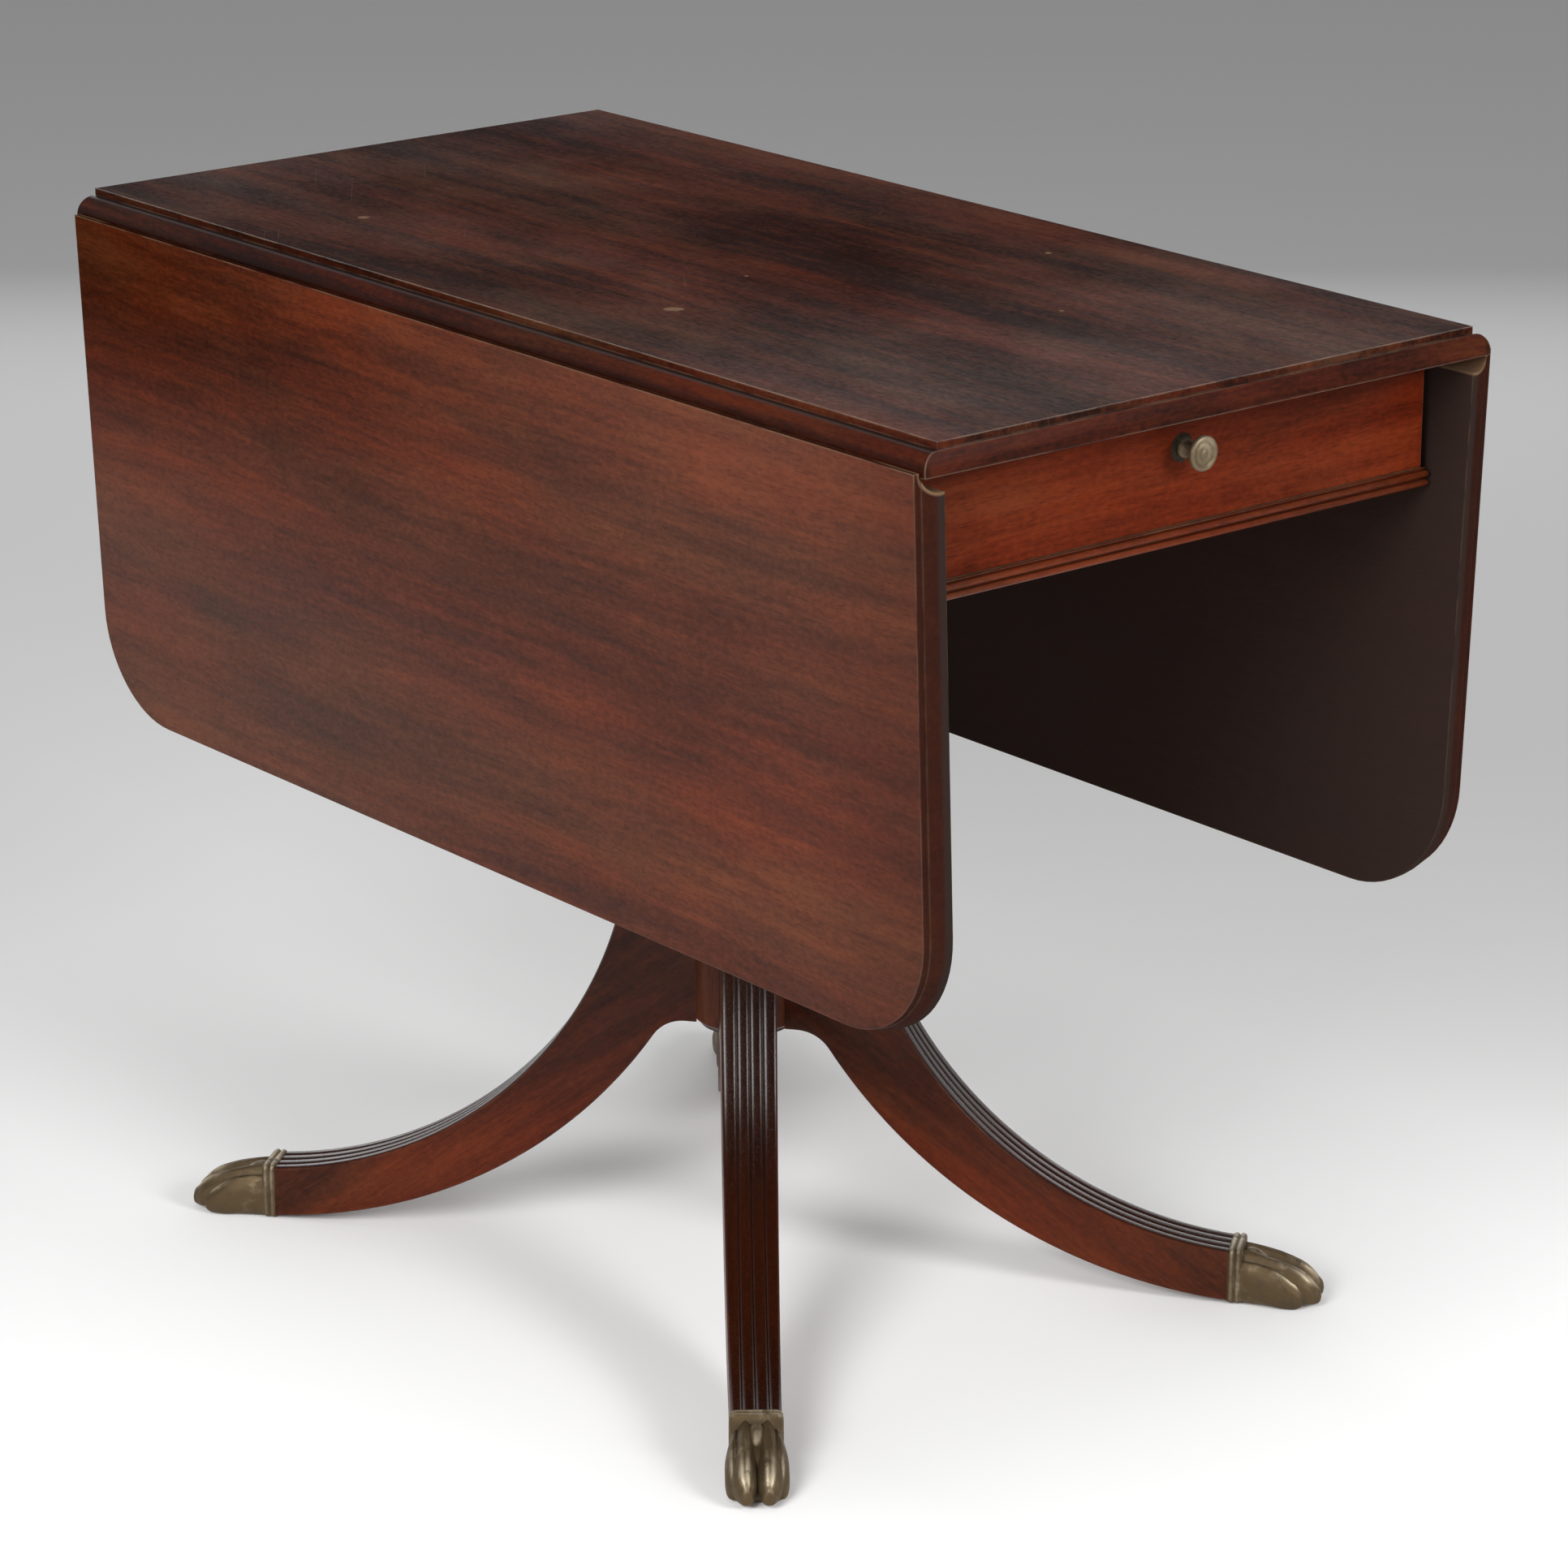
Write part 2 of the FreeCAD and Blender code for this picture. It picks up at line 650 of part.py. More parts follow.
def finish_plate(body, spots):
    """Bore a hinge plate for its pin and sink its screw holes."""
    pocket(body, draw_circles(new_sketch(body, "YZ_Plane"), [("0", "0")], "places.barrel_bore"))
    pocket(body, draw_circles(new_sketch(body, "XY_Plane"), spots, "places.screw_bore"))
    sinks = draw_circles(new_sketch(body, "XY_Plane", "places.leaf_low"), spots, "places.screw_head_bore")
    pocket(body, sinks, "sizes.screw_head_height", along=True)


def hinge(side, end):
    """One table hinge: a short fixed plate with two knuckles, a long leaf plate with one, and a pin."""
    half = "sizes.hinge_width / 2"
    inner = "places.knuckle_end + sizes.knuckle_gap"
    spot = (hinge_move(end), f"{SIDES[side]} * places.axis_y", "places.axis_z")

    fixed = new_body(f"hinge_fixed_plate_{side}_{end}")
    right = [
        (half, "-sizes.fixed_plate_reach"),
        (half, "0"),
        (inner, "0"),
        (inner, "-sizes.plate_cutback"),
    ]
    plan = draw(new_sketch(fixed, "XY_Plane", "places.leaf_low"), right + mirrored(right))
    pad(fixed, plan, "sizes.plate_thick")
    knuckle(fixed, inner, f"{half} - ({inner})")
    knuckle(fixed, f"-{half}", f"{half} - ({inner})")
    finish_plate(fixed, hinge_spots("-places.fixed_screw_row"))
    place(fixed, spot, leaf_turn(side, hanging=False))

    swing = new_body(f"hinge_leaf_plate_{side}_{end}")
    right = [
        ("places.knuckle_end", "0"),
        ("places.knuckle_end", "sizes.plate_cutback"),
        (half, "sizes.plate_cutback"),
        (half, "sizes.leaf_plate_reach"),
    ]
    plan = draw(new_sketch(swing, "XY_Plane", "places.leaf_low"), right + mirrored(right))
    pad(swing, plan, "sizes.plate_thick")
    knuckle(swing, "-places.knuckle_end", "2 * places.knuckle_end")
    finish_plate(swing, leaf_screw_spots())
    place(swing, spot, leaf_turn(side, hanging=True))

    pin_spot = (f"{hinge_move(end)} - {half}",) + spot[1:]
    rod(f"hinge_pin_{side}_{end}", "sizes.hinge_pin_radius", "sizes.hinge_width", pin_spot,
        Rotation(Vector(0, 1, 0), 90))


def hinge_screws():
    """The hinges' screws: one group in the top and one in each leaf."""
    size = ("sizes.screw_radius", "sizes.screw_head_radius", "sizes.screw_head_height",
            "sizes.hinge_screw_length")
    fixed = []
    for end in HINGE_ENDS:
        for sign in SIDES.values():
            row = f"{sign} * (places.axis_y - places.fixed_screw_row)"
            fixed += [spot + ("places.underside",) for spot in shifted(hinge_spots(row), hinge_move(end))]
    screws("hinge_screws_top", fixed, *size)
    for side in SIDES:
        spots = []
        for end in HINGE_ENDS:
            spots += [spot + ("places.leaf_low",) for spot in shifted(leaf_screw_spots(), hinge_move(end))]
        screws(f"hinge_screws_leaf_{side}", spots, *size, leaf_turn(side, hanging=True), hinge_axis(side))


def kicker_spots():
    """Where the screws go up through the kickers into the top."""
    row = "places.rail_inside - sizes.kicker_width / 2"
    moves = ("-sizes.kicker_screw_spread", "0", "sizes.kicker_screw_spread")
    return [(move, f"{sign} * ({row})") for sign in SIDES.values() for move in moves]


def apron():
    """The frame under the top: rails, base board, kickers and the drawer's stop."""
    rail_length = "places.rail_front + places.front_back"
    height = "places.underside - places.base_top"
    end_length = "places.front_back"
    for side, sign in SIDES.items():
        low = "places.rail_inside" if sign > 0 else "-places.rail_joint"
        board(f"inner_rail_{side}", (rail_length, "sizes.rail_thick", height),
              (f"-{end_length}", low, "places.base_top"))
        outer_rail(side, sign)
        kicker(side, sign)
    board("back_rail", ("sizes.front_thick", "2 * places.apron_side", height),
          ("-places.apron_end", "-places.apron_side", "places.base_top"))
    stop_start = "places.drawer_back - sizes.drawer_gap - sizes.stop_length"
    board("drawer_stop", ("sizes.stop_length", "sizes.stop_width", "sizes.stop_height"),
          (stop_start, "-sizes.stop_width / 2", "places.base_top"))

    base = new_body("base_board")
    plan = draw_box(new_sketch(base, "XY_Plane", "places.base_bottom"),
                    ("-places.apron_end", "-places.apron_side"), ("places.apron_end", "places.apron_side"))
    pad(base, plan, "sizes.base_thick")
    pilots = draw_circles(new_sketch(base, "XY_Plane", "places.base_bottom"), cleat_spots(),
                          "places.frame_screw_bore")
    pocket(base, pilots, "sizes.cleat_screw_bite", along=True)

    size = ("sizes.frame_screw_radius", "sizes.frame_screw_head_radius", "sizes.frame_screw_head_height")
    screws("top_screws", [spot + ("places.kicker_low",) for spot in kicker_spots()], *size,
           "sizes.kicker_height + sizes.top_screw_bite")


def outer_rail(side, sign):
    """An outer side rail, notched from above for the leaf bracket that folds into it."""
    body = new_body(f"outer_rail_{side}")
    lift = "-places.apron_side" if sign > 0 else "places.rail_joint"
    corners = [
        ("-places.front_back", "places.base_top"),
        ("places.rail_front", "places.base_top"),
        ("places.rail_front", "places.underside"),
        ("places.notch_half", "places.underside"),
        ("places.notch_half", "places.notch_floor"),
        ("-places.notch_half", "places.notch_floor"),
        ("-places.notch_half", "places.underside"),
        ("-places.front_back", "places.underside"),
    ]
    pad(body, draw(new_sketch(body, "XZ_Plane", lift), corners), "sizes.rail_thick")
    seat = draw_circles(new_sketch(body, "XY_Plane", "places.notch_floor"),
                        [("places.pivot_x", f"{sign} * places.pivot_y")], "sizes.bracket_pin_radius")
    pocket(body, seat, "sizes.bracket_pin_seat")


def kicker(side, sign):
    """The strip above a drawer side that keeps the drawer level, drilled for the top's screws."""
    body = new_body(f"kicker_{side}")
    inner = "places.rail_inside - sizes.kicker_width"
    low, high = (inner, "places.rail_inside") if sign > 0 else ("-places.rail_inside", f"-({inner})")
    lift = "places.kicker_low"
    plan = draw_box(new_sketch(body, "XY_Plane", lift), ("-places.front_back", low),
                    ("places.rail_front", high))
    pad(body, plan, "sizes.kicker_height")
    spots = [spot for spot in kicker_spots() if spot[1].startswith(str(sign))]
    pocket(body, draw_circles(new_sketch(body, "XY_Plane", lift), spots, "places.frame_screw_bore"))
    sinks = draw_circles(new_sketch(body, "XY_Plane", lift), spots, "places.frame_screw_head_bore")
    pocket(body, sinks, "sizes.frame_screw_head_height", along=True)


def base_moulding(label, half_run, corner, angle):
    """One strip of the double-bead moulding round the base board, mitred at both ends."""
    body = new_body(label)
    level = "places.base_bottom"
    corners = [("0", level), ("sizes.bead_root", level)]
    arcs = {}
    for _ in range(2):
        arcs[len(corners) - 1] = ("places.bead_radius", 1)
        level = f"{level} + places.bead_step"
        corners += [("sizes.bead_root", level), ("sizes.quirk_root", level)]
        level = f"{level} + places.quirk_step"
        corners += [("sizes.quirk_root", level), ("sizes.bead_root", level)]
    corners[-1] = ("sizes.bead_root", level)
    corners += [("sizes.bead_root", "places.base_top"), ("0", "places.base_top")]
    section = draw(new_sketch(body, "YZ_Plane"), corners, arcs)
    pad(body, section, f"2 * ({half_run} + sizes.moulding_depth)", symmetric=True)
    beyond = "sizes.moulding_depth + sizes.overrun"
    waste = [
        (f"{half_run} - sizes.overrun", "-sizes.overrun"),
        (f"{half_run} + {beyond}", "-sizes.overrun"),
        (f"{half_run} + {beyond}", beyond),
    ]
    mitres = new_sketch(body, "XY_Plane")
    draw(mitres, waste)
    draw(mitres, mirrored(waste))
    pocket(body, mitres)
    place(body, corner, Rotation(Vector(0, 0, 1), angle))


def bracket(side, sign):
    """A leaf bracket, drawn from its pin: rounded at the pivot, shaped below towards the tip."""
    body = new_body(f"leaf_bracket_{side}")
    half = "places.bracket_thick / 2"
    corners = [
        (f"-{half}", "0"),
        ("0", f"-{half}"),
        ("places.bracket_arm", f"-{half}"),
        ("places.bracket_arm", half),
        ("0", half),
    ]
    round_end = {0: (half, 1), 4: (half, 1)}
    pad(body, draw(new_sketch(body, "XY_Plane"), corners, round_end), "places.bracket_height")
    waist = "places.bracket_arm * sizes.bracket_waist_share"
    lift = "places.bracket_height * sizes.bracket_lift_share"
    waste = [
        (waist, "-sizes.overrun"),
        ("places.bracket_arm + sizes.overrun", "-sizes.overrun"),
        ("places.bracket_arm + sizes.overrun", lift),
        ("places.bracket_arm * sizes.bracket_tip_share", lift),
        (waist, "0"),
    ]
    curve = ("places.bracket_arm * sizes.bracket_curve_share", -1)
    pocket(body, draw(new_sketch(body, "XZ_Plane"), waste, {3: curve}))
    bore = draw_circles(new_sketch(body, "XY_Plane"), [("0", "0")], "sizes.bracket_pin_radius + sizes.pin_fit")
    pocket(body, bore)
    place(body, ("places.pivot_x", f"{sign} * places.pivot_y", "places.bracket_low"))
    rod(f"bracket_pin_{side}", "sizes.bracket_pin_radius",
        "places.bracket_height + 2 * (sizes.bracket_gap + sizes.bracket_pin_seat)",
        ("places.pivot_x", f"{sign} * places.pivot_y", "places.notch_floor - sizes.bracket_pin_seat"))


def drawer():
    """The drawer: front, grooved sides, back and bottom panel."""
    front = new_body("drawer_front")
    face = draw_box(new_sketch(front, "YZ_Plane", "places.front_back"),
                    ("-places.apron_side", "places.drawer_low"), ("places.apron_side", "places.front_high"))
    pad(front, face, "sizes.front_thick")
    reach = "places.drawer_inside + sizes.groove_depth"
    groove = draw_box(new_sketch(front, "YZ_Plane", "places.front_back"),
                      (f"-({reach})", "places.groove_low"), (reach, "places.groove_high"))
    pocket(front, groove, "sizes.groove_depth", along=True)
    bore = draw_circles(new_sketch(front, "YZ_Plane"), [("0", "places.knob_z")], "places.knob_bolt_bore")
    pocket(front, bore)

    for side, sign in SIDES.items():
        body = new_body(f"drawer_side_{side}")
        corners = [
            ("places.drawer_inside", "places.drawer_low"),
            ("places.drawer_side", "places.drawer_low"),
            ("places.drawer_side", "places.drawer_high"),
            ("places.drawer_inside", "places.drawer_high"),
            ("places.drawer_inside", "places.groove_high"),
            (reach, "places.groove_high"),
            (reach, "places.groove_low"),
            ("places.drawer_inside", "places.groove_low"),
        ]
        outline = corners if sign > 0 else mirrored(corners)
        pad(body, draw(new_sketch(body, "YZ_Plane", "places.drawer_back"), outline), "sizes.drawer_length")

    board("drawer_back", ("sizes.drawer_side_thick", "2 * places.drawer_inside",
                          "places.drawer_high - places.groove_high"),
          ("places.drawer_back", "-places.drawer_inside", "places.groove_high"))
    board("drawer_bottom", ("sizes.drawer_length + sizes.groove_depth", f"2 * ({reach})",
                            "sizes.drawer_bottom_thick"),
          ("places.drawer_back", f"-({reach})", "places.groove_low"))


def revolve(body, sketch, axis):
    """Turn a sketch a full turn about one of its own axes."""
    feature = body.newObject("PartDesign::Revolution", body.Name + "_turning")
    feature.Profile = sketch
    feature.ReferenceAxis = (sketch, [axis])
    return feature


def knob():
    """The drawer's knob: rosette, turned knob and the bolt that holds it from inside."""
    rosette = new_body("knob_rosette")
    thick = "sizes.rosette_thick"
    corners = [
        ("0", "places.knob_bolt_bore"),
        (thick, "places.knob_bolt_bore"),
        (thick, f"sizes.rosette_radius - {thick}"),
        ("0", "sizes.rosette_radius"),
    ]
    curve = (f"sizes.rosette_curve_share * {thick}", -1)
    revolve(rosette, draw(new_sketch(rosette, "XZ_Plane"), corners, {2: curve}), "H_Axis")
    place(rosette, ("places.apron_end", "0", "places.knob_z"))

    turned = new_body("drawer_knob")
    corners = [(f"sizes.knob_reach * {x}", f"sizes.knob_radius * {y}") for x, y in KNOB_SHARES]
    profile = draw(new_sketch(turned, "XZ_Plane"), [("0", "0")] + corners)
    revolve(turned, profile, "H_Axis")
    hole = draw_circles(new_sketch(turned, "YZ_Plane"), [("0", "0")], "places.knob_bolt_bore")
    pocket(turned, hole, "sizes.knob_bolt_seat", along=True)
    place(turned, ("places.knob_start", "0", "places.knob_z"))

    bolt = new_body("knob_bolt")
    head = "sizes.knob_bolt_head_thick"
    length = "sizes.front_thick + sizes.rosette_thick + sizes.knob_bolt_seat"
    corners = [
        (f"-{head}", "0"),
        (length, "0"),
        (length, "sizes.knob_bolt_radius"),
        ("0", "sizes.knob_bolt_radius"),
        ("0", "sizes.knob_bolt_head_radius"),
        (f"-{head} / 2", "sizes.knob_bolt_head_radius"),
        (f"-{head}", "sizes.knob_bolt_radius"),
    ]
    revolve(bolt, draw(new_sketch(bolt, "XZ_Plane"), corners), "H_Axis")
    place(bolt, ("places.front_back", "0", "places.knob_z"))


def cleat_spots():
    """Where the cleat is screwed to the base board."""
    half = "sizes.cleat_screw_spread / 2"
    side = "sizes.cleat_width / 2 - sizes.cleat_thick"
    return [(f"{a} * {half}", f"{b} * ({side})") for a in (-1, 1) for b in (-1, 1)]


def pedestal():
    """The cleat under the apron, the turned column and the plate under its hub."""
    cleat = new_body("column_cleat")
    half = "sizes.cleat_width / 2"
    right = [
        (f"{half} - sizes.cleat_bevel", "places.cleat_bottom"),
        (half, "places.cleat_bottom + sizes.cleat_bevel"),
        (half, "places.base_bottom"),
    ]
    section = draw(new_sketch(cleat, "YZ_Plane"), right + mirrored(right))
    pad(cleat, section, "sizes.cleat_length", symmetric=True)
    mortise = "sizes.tenon_radius + sizes.screw_fit"
    pocket(cleat, draw_circles(new_sketch(cleat, "XY_Plane"), [("0", "0")], mortise))
    pocket(cleat, draw_circles(new_sketch(cleat, "XY_Plane"), cleat_spots(), "places.frame_screw_bore"))
    sinks = draw_circles(new_sketch(cleat, "XY_Plane", "places.cleat_bottom"), cleat_spots(),
                         "places.frame_screw_head_bore")
    pocket(cleat, sinks, "sizes.frame_screw_head_height", along=True)
    size = ("sizes.frame_screw_radius", "sizes.frame_screw_head_radius", "sizes.frame_screw_head_height")
    screws("cleat_screws", [spot + ("places.cleat_bottom",) for spot in cleat_spots()], *size,
           "sizes.cleat_thick + sizes.cleat_screw_bite")
    column()

    plate = new_body("hub_plate")
    lift = "sizes.hub_bottom - sizes.hub_plate_thick"
    pad(plate, draw_circles(new_sketch(plate, "XY_Plane", lift), [("0", "0")], "sizes.hub_plate_radius"),
        "sizes.hub_plate_thick")
    pocket(plate, draw_circles(new_sketch(plate, "XY_Plane"), hub_spots(), "places.screw_bore"))
    sinks = draw_circles(new_sketch(plate, "XY_Plane", lift), hub_spots(), "places.screw_head_bore")
    pocket(plate, sinks, "sizes.screw_head_height", along=True)
    screws("hub_screws", [spot + (lift,) for spot in hub_spots()], "sizes.screw_radius",
           "sizes.screw_head_radius", "sizes.screw_head_height", "sizes.hinge_screw_length")


def hub_spots():
    """Where the hub's plate is screwed on, between the legs' dovetails."""
    circle = "sizes.hub_screw_circle"
    return [(circle, "0"), ("0", circle), (f"-{circle}", "0"), ("0", f"-{circle}")]


def column():
    """The turned column: hub with four dovetail sockets, ring, urn, collar and tenon."""
    body = new_body("column")
    corners = [
        ("0", "sizes.hub_bottom"),
        ("sizes.hub_radius - sizes.hub_chamfer", "sizes.hub_bottom"),
        ("sizes.hub_radius", "sizes.hub_bottom + sizes.hub_chamfer"),
        ("sizes.hub_radius", "places.hub_top"),
    ]
    arcs = {}
    for point, after in zip(TURNING_SHARES, TURNING_SHARES[1:] + TURNING_SHARES[-1:]):
        height, radius, curve, bend = point
        if curve:
            rise = f"(places.turned_height * {after[0] - height})"
            run = f"(sizes.column_radius * {after[1] - radius})"
            arcs[len(corners)] = (f"{curve} * sqrt({rise} ^ 2 + {run} ^ 2)", bend)
        corners.append((f"sizes.column_radius * {radius}", f"places.hub_top + places.turned_height * {height}"))
    corners += [
        ("sizes.tenon_radius", "places.cleat_bottom"),
        ("sizes.tenon_radius", "places.base_bottom"),
        ("0", "places.base_bottom"),
    ]
    revolve(body, draw(new_sketch(body, "XZ_Plane"), corners, arcs), "V_Axis")

    sockets = new_sketch(body, "XY_Plane", "sizes.hub_bottom")
    for along, across in LEGS.values():
        draw(sockets, dovetail(along, across, "sizes.dovetail_fit"))
    pocket(body, sockets, "places.dovetail_height + sizes.dovetail_fit", along=True)
    pilots = draw_circles(new_sketch(body, "XY_Plane", "sizes.hub_bottom"), hub_spots(), "places.screw_bore")
    pocket(body, pilots, "sizes.hinge_screw_length - sizes.hub_plate_thick", along=True)


def dovetail(along, across, fit):
    """A leg's dovetail in plan, turned to the leg's way out, wider by the fit."""
    turn = Rotation(Vector(0, 0, 1), leg_angle(along, across))
    ways = turn.multVec(Vector(1, 0, 0)), turn.multVec(Vector(0, 1, 0))
    inner = f"(places.dovetail_inner - {fit})"
    outer = "(sizes.hub_radius + sizes.overrun)"
    root = f"(sizes.dovetail_root / 2 + {fit})"
    flare = f"(sizes.dovetail_flare / 2 + {fit})"
    corners = [(inner, f"-{flare}"), (outer, f"-{root}"), (outer, root), (inner, flare)]
    return [
        (f"{out} * {ways[0].x} + {side} * {ways[1].x}", f"{out} * {ways[0].y} + {side} * {ways[1].y}")
        for out, side in corners
    ]


def leg_angle(along, across):
    """The plan angle of a leg from +X."""
    angle = number("sizes.leg_plan_angle")
    return across * (angle if along > 0 else 180 - angle)


def leg(name, along, across):
    """A sabre leg, drawn along +X from the column's axis: two sweeps, reeded above, tapered in plan."""
    body = new_body(f"leg_{name}")
    profile = [
        ("places.leg_inner", "sizes.hub_bottom"),
        ("places.heel_start", "sizes.hub_bottom"),
        ("places.heel_end_x", "places.heel_end_z"),
        ("places.ankle_reach", "places.ankle_low"),
        ("places.ankle_reach", "places.ankle_high"),
        ("places.knee_x", "places.knee_z"),
        ("places.head_x", "places.head_z"),
        ("places.leg_inner", "places.head_z"),
    ]
    arcs = {
        1: ("sizes.leg_heel_radius", -1),
        2: ("places.lower_radius", 1),
        4: ("places.upper_radius", -1),
        5: ("sizes.leg_knee_radius", 1),
    }
    pad(body, draw(new_sketch(body, "XZ_Plane"), profile, arcs), "sizes.leg_head_width", symmetric=True)

    far = "places.ankle_reach + sizes.overrun"
    wide = "sizes.leg_head_width / 2 + sizes.overrun"
    taper = [
        ("0", "sizes.leg_head_width / 2"),
        (far, "sizes.leg_ankle_width / 2"),
        (far, wide),
        ("0", wide),
    ]
    sides = new_sketch(body, "XY_Plane")
    draw(sides, taper)
    draw(sides, [(x, f"-({y})") for x, y in reversed(taper)])
    pocket(body, sides)
    pocket(body, draw_circles(new_sketch(body, "XY_Plane"), [("0", "0")], "sizes.hub_radius"))

    tongue = draw(new_sketch(body, "XY_Plane", "sizes.hub_bottom"), [
        ("places.dovetail_inner", "-sizes.dovetail_flare / 2"),
        ("sizes.hub_radius + sizes.overrun", "-sizes.dovetail_root / 2"),
        ("sizes.hub_radius + sizes.overrun", "sizes.dovetail_root / 2"),
        ("places.dovetail_inner", "sizes.dovetail_flare / 2"),
    ])
    pad(body, tongue, "places.dovetail_height")
    half = "sizes.ankle_tenon_width / 2"
    tenon = draw_box(new_sketch(body, "YZ_Plane", "places.ankle_reach"),
                     (f"-{half}", "sizes.ankle_tenon_rise"),
                     (half, "sizes.ankle_tenon_rise + sizes.ankle_tenon_height"))
    pad(body, tenon, "sizes.ankle_tenon_length")
    reeds(body)
    place(body, turn=Rotation(Vector(0, 0, 1), leg_angle(along, across)))


def reeds(body):
    """Cut four reeds along the leg's upper sweep: round crests between three sharp grooves."""
    grooves = ["places.reed_edge", "sizes.reed_width", "0", "-sizes.reed_width", "-places.reed_edge"]
    corners = [(groove, "places.reed_floor") for groove in grooves]
    middle = ("places.reed_radius", 1)
    side = ("places.side_reed_radius", 1)
    arcs = {0: side, 1: middle, 2: middle, 3: side}
    lid = [("-places.reed_edge", "places.reed_lid"), ("places.reed_edge", "places.reed_lid")]
    section = draw(new_sketch(body, "YZ_Plane", "sizes.sabre_reach"), corners + lid, arcs)
    spine = draw(
        new_sketch(body, "XZ_Plane"),
        [("sizes.sabre_reach", "sizes.sabre_upper_rise"),
         ("sizes.sabre_reach - places.upper_radius", "places.upper_centre")],
        {0: ("places.upper_radius", -1)},
        closed=False,
    )
    cut = body.newObject("PartDesign::SubtractivePipe", body.Name + "_reeds")
    cut.Profile = section
    cut.Spine = spine
    cuts.append(cut)


def paw_cap(name, along, across):
    """A brass toe cap on a leg's tenon: collar and a paw with four toes."""
    body = new_body(f"paw_cap_{name}")
    beads = ("places.ankle_reach", "places.collar_middle", "places.collar_end")
    upper = [(bead, "places.collar_side") for bead in beads]
    upper += [
        (f"places.ankle_reach + sizes.cap_length * {x}", f"sizes.cap_width / 2 * {y}")
        for x, y in PAW_SHARES
    ]
    lower = [(x, f"-({y})") for x, y in upper[:-1]]
    corners = lower + list(reversed(upper))
    bead = ("places.collar_bead_radius", 1)
    outer = (f"sizes.cap_width * {OUTER_TOE_SHARE}", 1)
    inner = (f"sizes.cap_width * {INNER_TOE_SHARE}", 1)
    rounds = {0: bead, 1: bead, 3: outer, 4: inner, 5: inner, 6: outer, 8: bead, 9: bead}
    pad(body, draw(new_sketch(body, "XY_Plane"), corners, rounds), "places.collar_height")

    knuckle, tip, sole = (
        (f"places.ankle_reach + sizes.cap_length * {x}", f"sizes.paw_height * {z}")
        for x, z in (KNUCKLE_SHARES, TIP_SHARES, SOLE_SHARES)
    )
    beyond = "places.cap_end + sizes.overrun"
    high = "places.collar_height + sizes.overrun"
    waste = [(bead, "places.ankle_high") for bead in beads]
    waste += [
        ("places.collar_end", "sizes.paw_height"),
        knuckle,
        tip,
        sole,
        (beyond, sole[1]),
        (beyond, high),
        ("places.ankle_reach", high),
    ]
    bead = ("places.collar_bead_radius", -1)
    above, below = ((f"sizes.paw_height * {share}", -1) for share in TOE_ROUND_SHARES)
    pocket(body, draw(new_sketch(body, "XZ_Plane"), waste, {0: bead, 1: bead, 4: above, 5: below}))

    half = "(sizes.ankle_tenon_width / 2 + sizes.tenon_fit)"
    socket = draw_box(new_sketch(body, "YZ_Plane", "places.ankle_reach"),
                      (f"-{half}", "sizes.ankle_tenon_rise - sizes.tenon_fit"),
                      (half, "sizes.ankle_tenon_rise + sizes.ankle_tenon_height + sizes.tenon_fit"))
    pocket(body, socket, "sizes.ankle_tenon_length + sizes.tenon_fit", along=True)
    place(body, turn=Rotation(Vector(0, 0, 1), leg_angle(along, across)))


def build():
    """Make every sub-part."""
    centre_top()
    for side, sign in SIDES.items():
        leaf(side)
        for end in HINGE_ENDS:
            hinge(side, end)
        bracket(side, sign)
    hinge_screws()
    apron()
    for name, half_run, corner, angle in (
        ("front", "places.apron_side", ("places.apron_end", "0", "0"), -90),
        ("back", "places.apron_side", ("-places.apron_end", "0", "0"), 90),
        ("near", "places.apron_end", ("0", "-places.apron_side", "0"), 180),
        ("far", "places.apron_end", ("0", "places.apron_side", "0"), 0),
    ):
        base_moulding(f"base_moulding_{name}", half_run, corner, angle)
    drawer()
    knob()
    pedestal()
    for name, (along, across) in LEGS.items():
        leg(name, along, across)
        paw_cap(name, along, across)


def check():
    """Stop if anything failed to build or a cut removed nothing."""
    doc.recompute()
    failed = [item.Name for item in doc.Objects if {"Invalid", "Error"} & set(item.State)]
    failed += [cut.Name for cut in cuts if cut.Shape.Volume >= cut.BaseFeature.Shape.Volume]
    failed += [item.Name for item in pieces if item.Shape.isNull() or not item.Shape.isValid()]
    if failed:
        raise RuntimeError("these did not build: " + ", ".join(failed))


def export():
    """Write one STEP file for each sub-part."""
    os.makedirs("parts", exist_ok=True)
    for item in pieces:
        item.Shape.exportStep(f"parts/{item.Label}.step")
        print(item.Label, len(item.Shape.Solids), round(item.Shape.Volume))


build()
check()
export()
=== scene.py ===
"""Looks for a drop-leaf pedestal table: finishes, carved feet, reeded legs, turned work and stage."""

import math
from types import SimpleNamespace

import bpy
import numpy as np
from bpy.props import FloatProperty, FloatVectorProperty, IntProperty, PointerProperty
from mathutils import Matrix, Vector


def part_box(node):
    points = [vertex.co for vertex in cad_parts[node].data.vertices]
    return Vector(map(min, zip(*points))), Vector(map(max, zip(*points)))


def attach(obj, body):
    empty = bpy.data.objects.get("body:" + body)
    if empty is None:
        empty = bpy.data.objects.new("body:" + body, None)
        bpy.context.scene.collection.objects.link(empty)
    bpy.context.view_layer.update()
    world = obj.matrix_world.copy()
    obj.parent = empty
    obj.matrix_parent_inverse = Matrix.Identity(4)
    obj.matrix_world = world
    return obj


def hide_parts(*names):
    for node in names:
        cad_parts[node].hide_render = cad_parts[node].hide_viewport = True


bl_info = {
    "name": "Drop-leaf pedestal table",
    "version": (1, 0, 0),
    "blender": (4, 5, 0),
    "location": "View3D > Sidebar > Table",
    "description": "Dresses the table's solids with timber, brass and iron and sets its stage",
    "category": "Object",
}

